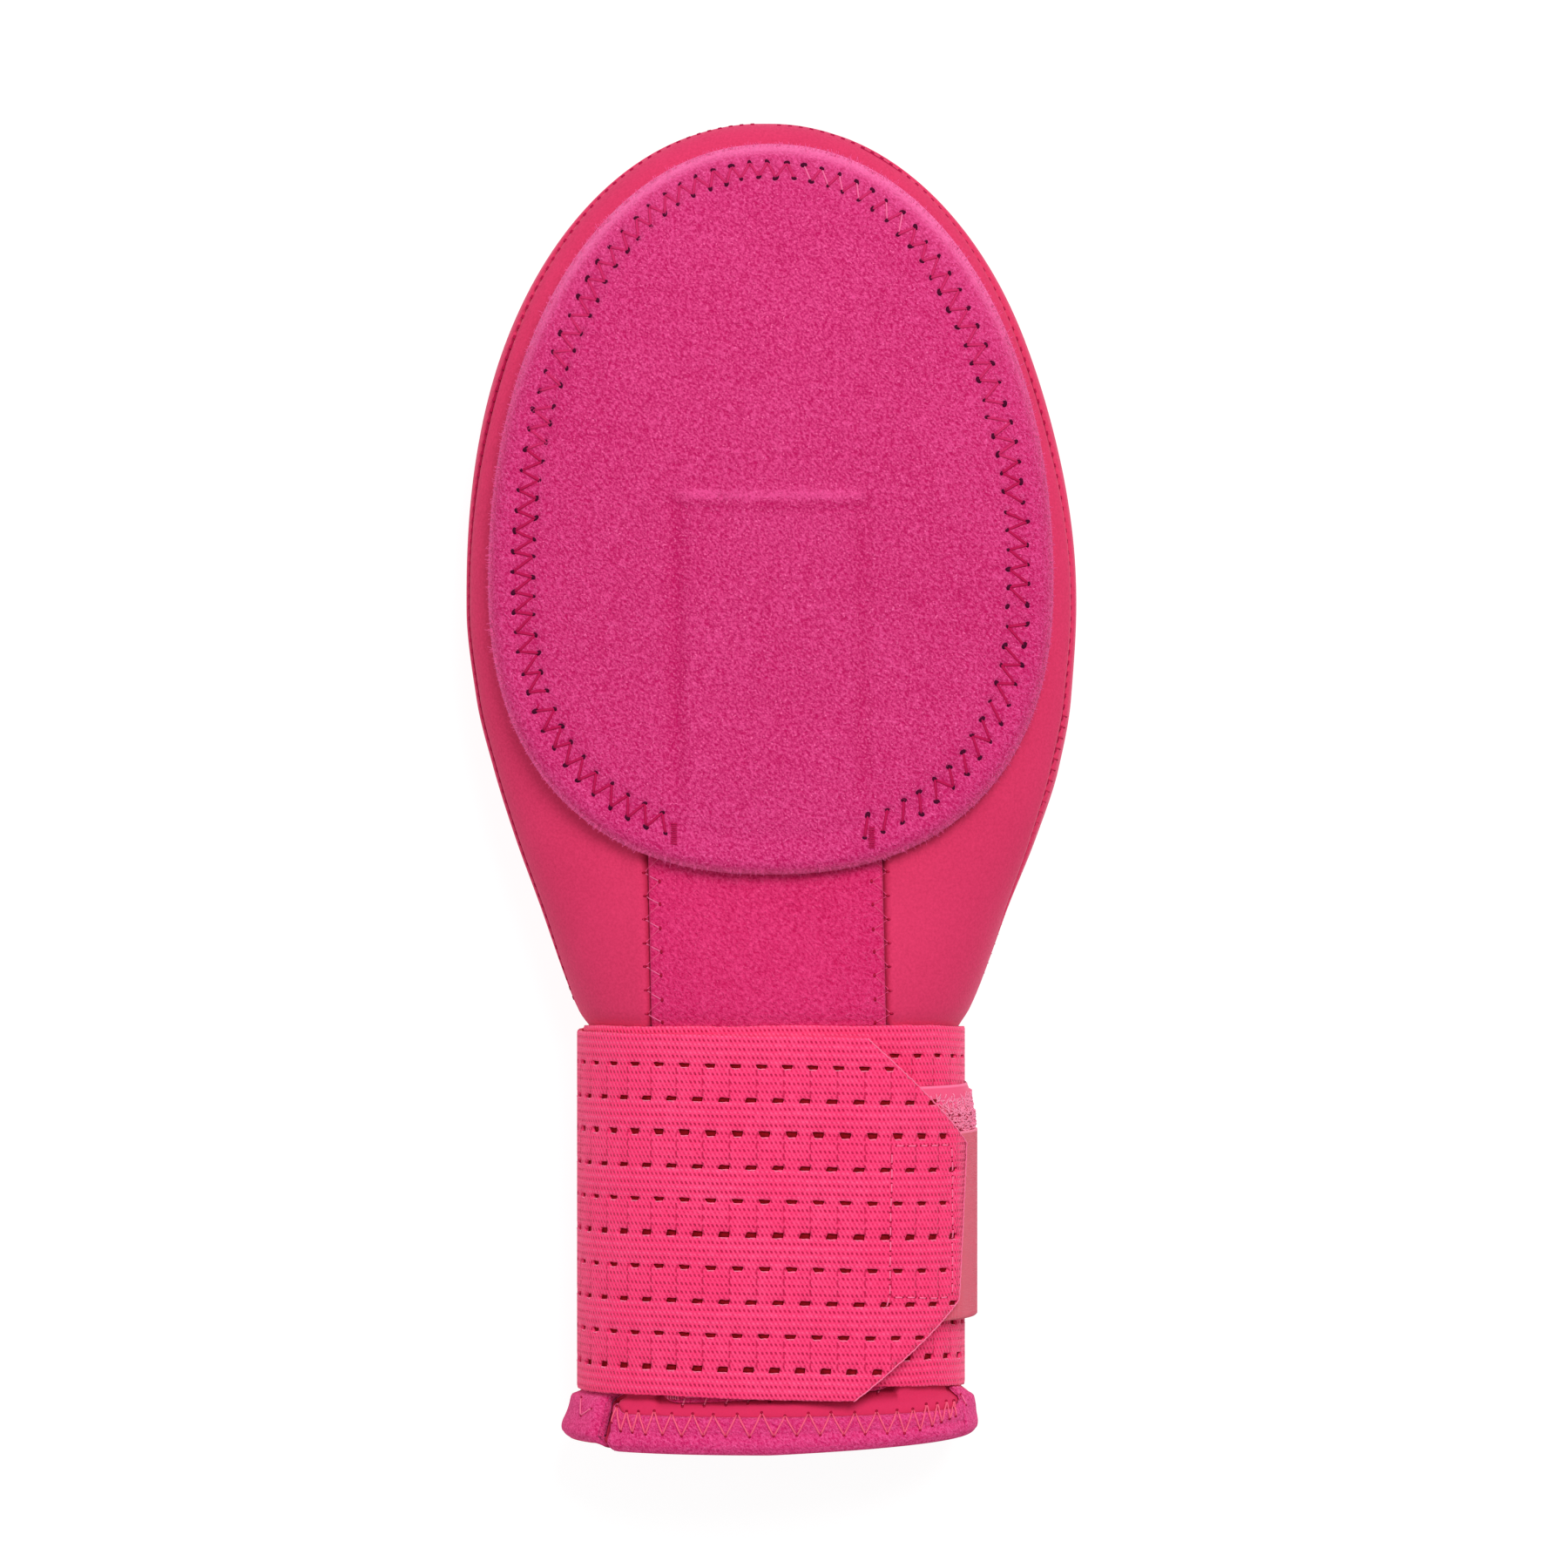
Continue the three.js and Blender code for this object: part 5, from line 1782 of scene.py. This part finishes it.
def bartack(place, start, end, across, lift=0.25):
    """A short row of dense crosswise stitches."""
    start, end = np.array(start), np.array(end)
    count = int(np.linalg.norm(end - start) / BARTACK_PITCH)
    t = (np.arange(count) / (count - 1))[:, None]
    ahead = (end - start) / np.linalg.norm(end - start)
    side = np.array([-ahead[1], ahead[0]]) * across / 2
    middle = start + (end - start) * t
    sign = np.where(np.arange(count) % 2, 1, -1)[:, None]
    return stitches(place, middle - side * sign, middle + side * sign, lift, 0.5)


paths = [bartack(on_pad, start, end, 1.5, 0.1) for start, end in BARTACKS]
sew("pad_bartacks", np.concatenate(paths), 0.2, ROSE_THREAD)

# %% [markdown]
# The strip's zigzag steps over its edge, so one needle place lies on the neoprene and the next
# on the fleece. The thread is so fine and so well matched that only its holes are clear, and on
# the left every second leg catches the light.

# %% Zigzags of the strip
STRIP_STITCH = 5.2
ON_NEOPRENE = 0.9
ON_FLEECE = -2.6
on_strip = on_top_of(palm_panel, strip)


def strip_zigzag(sign):
    """Needle places over one edge of the strip: sign is 1 for the right, -1 for the left."""
    y = np.arange(-54.0, 8, STRIP_STITCH / 2)
    edge = STRIP_MIDDLE + STRIP_LEAN * y + sign * STRIP_WIDTH / 2
    out = np.where(np.arange(len(y)) % 2, ON_NEOPRENE, ON_FLEECE)
    y = y + np.where(np.arange(len(y)) % 2, 0, 0.65)
    x = edge + sign * out + random.normal(0, 0.1, len(y))
    return np.stack([x, y + random.normal(0, 0.1, len(y))], axis=-1)


strip_needles = [strip_zigzag(sign) for sign in (1, -1)]
right_legs, left_legs = [stitches(on_strip, needles[:-1], needles[1:], 0.1, 0.5)
                         for needles in strip_needles]
faint_legs = np.concatenate([right_legs, left_legs[1::2]])
sew("strip_zigzag_faint", faint_legs, 0.11, FAINT_THREAD)
sew("strip_zigzag_pale", left_legs[::2], 0.11, LILAC_THREAD)
outer_holes = np.concatenate([needles[1::2] for needles in strip_needles])
inner_holes = np.concatenate([needles[::2] for needles in strip_needles])
pierce("strip_outer_holes", on_strip, outer_holes, 0.5, HOLE_CRIMSON, stretch=(1.0, 0.6))
pierce("strip_inner_holes", on_strip, inner_holes, 0.45, HOLE_CRIMSON, stretch=(0.75, 1.1))

# %% The lower end of the strip
END_PITCH = 4.8


def strip_end():
    """Ticks over the lower edge, and a line of running stitches just inside it."""
    x = np.arange(-19.5, 24, END_PITCH)
    low = np.column_stack([x, STRIP_LOW - 0.7 + end_slant(x)])
    ticks = stitches(on_strip, low, low + [0.7, 1.9], 0.12, 0.5)
    left = low[:-1] + [0.5, 2.0]
    line = stitches(on_strip, left, left + [END_PITCH * 0.75, 0.15], 0.1, 0.5)
    tack = bartack(on_strip, (-22.6, -136.0), (-20.4, -136.0), 1.4)
    return np.concatenate([ticks, line, tack]), low


paths, holes = strip_end()
sew("strip_end_stitches", paths, 0.17, PALE_THREAD)
pierce("strip_end_holes", on_strip, holes, 0.34, HOLE_CRIMSON)

# %% [markdown]
# The cuff's zigzag holds the binding and runs round the whole rim. Its stitches are equally long
# on the cloth, but the rim curves away on both sides, so from above they crowd together there.
# The spacing is therefore read from a short table of places across the mitt.

# %% Zigzag of the cuff
# Columns: place across the mitt and how far apart the peaks are there, in millimetres.
CUFF_PITCH = np.array([[-37.5, 1.6], [-33, 2.6], [-25, 4.2], [-12, 5.3],
                       [18, 5.0], [30, 3.4], [36, 2.1], [41, 1.3]])
CUFF_ENDS = (-36.2, 41)
ON_PALM = 20


def cuff_needles(edge):
    """Needle places that jump over the edge of the binding, from left to right."""
    peaks = [CUFF_ENDS[0]]
    while peaks[-1] < CUFF_ENDS[1]:
        peaks.append(peaks[-1] + np.interp(peaks[-1], *CUFF_PITCH.T))
    peaks = np.array(peaks)
    x = np.sort(np.concatenate([peaks, (peaks[:-1] + peaks[1:]) / 2]))
    x += random.normal(0, 0.1, len(x))
    odd = np.arange(len(x)) % 2
    y = np.interp(x, *edge) + np.where(odd, VALLEY, PEAK) + random.normal(0, 0.12, len(x))
    y += np.where(odd, 2.6 * smoothstep(x, 32, 43), 0.8 * smoothstep(x, 31, 35))
    return np.stack([x, y], axis=-1)


def binding_edge(side):
    """Places across and along of the binding's upper edge."""
    y, grow = [values[:1] for values in binding_profile(FLEECE)]
    s = section(y, grow)
    share = np.linspace(0, 1, 200)
    angles = s.seam_right[:, None] + (left_end(y, side) - s.seam_right)[:, None] * share
    place = y[:, None] + end_rise(side, share, y[:, None])
    line = panel_grid(place, grow[:, None] + 0 * share, angles, side)[0]
    order = np.argsort(line[:, 0])
    return line[order, 0], line[order, 1]


on_cuff = on_top_of(palm_panel, strip, binding_palm)
palm_cuff = cuff_needles(binding_edge("palm"))
# A needle that would miss the cuff and hit the ground is left out.
palm_cuff = palm_cuff[on_cuff(palm_cuff, np.zeros(len(palm_cuff)))[:, 2] > ON_PALM]
paths = stitches(on_cuff, palm_cuff[:-1], palm_cuff[1:], 0.22, 0.5, 10)
sew("cuff_zigzag_palm", paths, 0.19, CORAL_THREAD)
pierce("cuff_holes_palm", on_cuff, palm_cuff, 0.34, HOLE_CRIMSON)

# %% The cuff's back and its flap on the left
def under_cuff(flat, height):
    """Places on the back binding, given an angle in degrees below the seam, and y."""
    angle, y = np.radians(flat[:, 0]), flat[:, 1]
    grow = np.where(y < HEM_Y + BINDING_FACE, GAP + FLEECE, 0) + height
    point = shell_point(y, grow, angle)
    point[:, 1] += smoothstep(-y, -SLANT_FROM, -HEM_Y) * SLANT_RISE * np.maximum(0, point[:, 0])
    point[:, 2] = np.maximum(point[:, 2], 0.05)
    return point


BELOW_GROUND = -0.1
back_turns = np.arange(-14, -172, -3.2)
back_y = HEM_Y + BINDING_FACE + np.where(np.arange(len(back_turns)) % 2, VALLEY, PEAK)
back_cuff = np.stack([back_turns, back_y], axis=-1)
paths = stitches(under_cuff, back_cuff[:-1], back_cuff[1:], 0.1, 0.6, 10)
points, faces = tubes(paths, 0.2)
points[:, 2] = np.maximum(points[:, 2], BELOW_GROUND)
make_piece("cuff_zigzag_back", points, faces, CORAL_THREAD, "thread")
on_flap = on_top_of(back_panel, binding_back)
vee = np.array([(-42.3, -137.6), (-42.3, -141.4), (-39.9, -139.5)])
last = np.array([(42.4, -136.9), (43.6, -139.2)])
paths = [stitches(on_flap, line[:-1], line[1:], 0.2, 0.4) for line in (vee, last)]
sew("flap_stitches", np.concatenate(paths), 0.14, PALE_THREAD)
pierce("flap_holes", on_flap, np.concatenate([vee, last]), 0.24, HOLE_CRIMSON)

# %% [markdown]
# The ribbed tab is sewn under the strap's tip with a box of running stitches. Only the upper
# thread shows, in dashes with a hole at both ends, and one loose end of thread lies at a corner.

# %% Box of stitches under the strap's tip
# Places from the strap's end and up from its lower edge, and the pitch, in millimetres.
BOX = [((17.6, 56.4), (2.9, 56.4), 2.8), ((2.7, 55.6), (2.7, 22.6), 3.1),
       ((4.2, 22.6), (19.0, 22.9), 2.8), ((19.2, 23.6), (18.6, 55.6), 3.3)]


def running_stitches(start, end, pitch, part=0.66):
    """Starts and ends of dashes that fill a part of each pitch."""
    start, end = np.array(start), np.array(end)
    count = round(np.linalg.norm(end - start) / pitch)
    marks = start + (end - start) * np.arange(count + 1)[:, None] / count
    marks = marks + random.normal(0, 0.07, marks.shape)
    return marks[:-1], marks[:-1] + (marks[1:] - marks[:-1]) * part


starts, ends = [np.concatenate(part) for part in zip(*[running_stitches(*side) for side in BOX])]
starts[:, 0], ends[:, 0] = STRAP_LENGTH - starts[:, 0], STRAP_LENGTH - ends[:, 0]
loose = np.array([[STRAP_LENGTH - 19.4, 22.9]])
paths = np.concatenate([stitches(on_strap, starts, ends, 0.08, 0.35),
                        stitches(on_strap, loose, loose - [0.5, 1.9], 0.3, 0.2)])
sew("strap_box_stitches", paths, 0.16, PALE_THREAD)
holes = np.concatenate([starts, ends])
pierce("strap_box_holes", on_strap, holes, 0.28, HOLE_CRIMSON, stretch=(1.0, 0.8))

# %% [markdown]
# Both panels are sewn edge to edge from the band round to the fingertips. The thread lies deep
# between them, so only a short dark mark shows at each stitch, and near the right of the wrist
# the thread that crosses the puffed edge. The marks follow lines beside the seam, which are given
# in degrees round the section, so that they stay beside it all the way. The marks' dark colour is
# partly painted shade, and a dark tube along each groove is painted shade.

# %% Side seams
SEAM_PITCH = 2.47
SEAM_MARK = 0.85
ABOVE_BAND = -52
# Each line beside a seam: side, degrees towards the palm and distance from the shell.
MARK_LINES = (("right", 0.7, -0.46), ("left", 1.2, -0.2))
# Each groove's line of painted shade: side, distance from the shell and how much of the seam it
# runs along.
GROOVES = (("right", -0.85, 0.9), ("left", -0.45, 0.66))
# A crossing thread's steps: degrees towards the palm and distance from the shell.
CROSS_STEPS = ((-0.2, -0.7), (-1.6, -0.15), (-3.0, 0.06), (-4.4, -0.3))


def seam_line(side, raised, grow):
    """A line beside a side seam; round the fingertips it lies on the palm, within the outline."""
    y = panel_rows(0)
    s = section(y, 0)
    raised = np.radians(raised + 3 * smoothstep(y, 90, 140))
    angle = s.seam_right + raised if side == "right" else np.pi - s.seam_left - raised
    line = shell_point(y, grow + 0.16 * smoothstep(y, 50, 90), angle)
    line[:, 1] -= 0.5 * smoothstep(y, 130, 146)
    on_top = palm_height(line[:, 0], line[:, 1]) + grow / 2
    line[:, 2] += np.maximum(0, on_top - line[:, 2]) * smoothstep(y, 126, 140)
    return line[line[:, 1] > ABOVE_BAND]


def side_seams():
    """Marks in both seams' grooves, where the needle pulled the cloth down; partly painted shade.
    """
    marks = []
    for line in [seam_line(*place) for place in MARK_LINES]:
        starts = np.arange(3, length_of(line) - 3, SEAM_PITCH)
        marks += [spaced(line, start + np.linspace(0, SEAM_MARK, 5)) for start in starts]
    return marks


def seam_crosses():
    """Thread that runs from the groove out over the puffed edge of the back panel."""
    lines = [seam_line("right", raised, grow) for raised, grow in CROSS_STEPS]
    starts = np.arange(4.1, length_of(lines[0]) * 0.3, SEAM_PITCH)
    return np.stack([spaced(line, starts) for line in lines], axis=1)


# The marks' dark colour is partly painted shade of the dips.
sew("seam_stitches", side_seams(), 0.38, SEAM_THREAD_AND_SHADE)
sew("seam_crosses", seam_crosses(), 0.13, CROSS_THREAD)
# A dark tube along each groove: painted shade.
for side, grow, reach in GROOVES:
    line = seam_line(side, 0.3, grow)
    line = spaced(line, np.arange(1, length_of(line) * reach, 1.2))
    sew(f"seam_groove_{side}", line[None], 0.32, SEAM_THREAD_AND_SHADE)
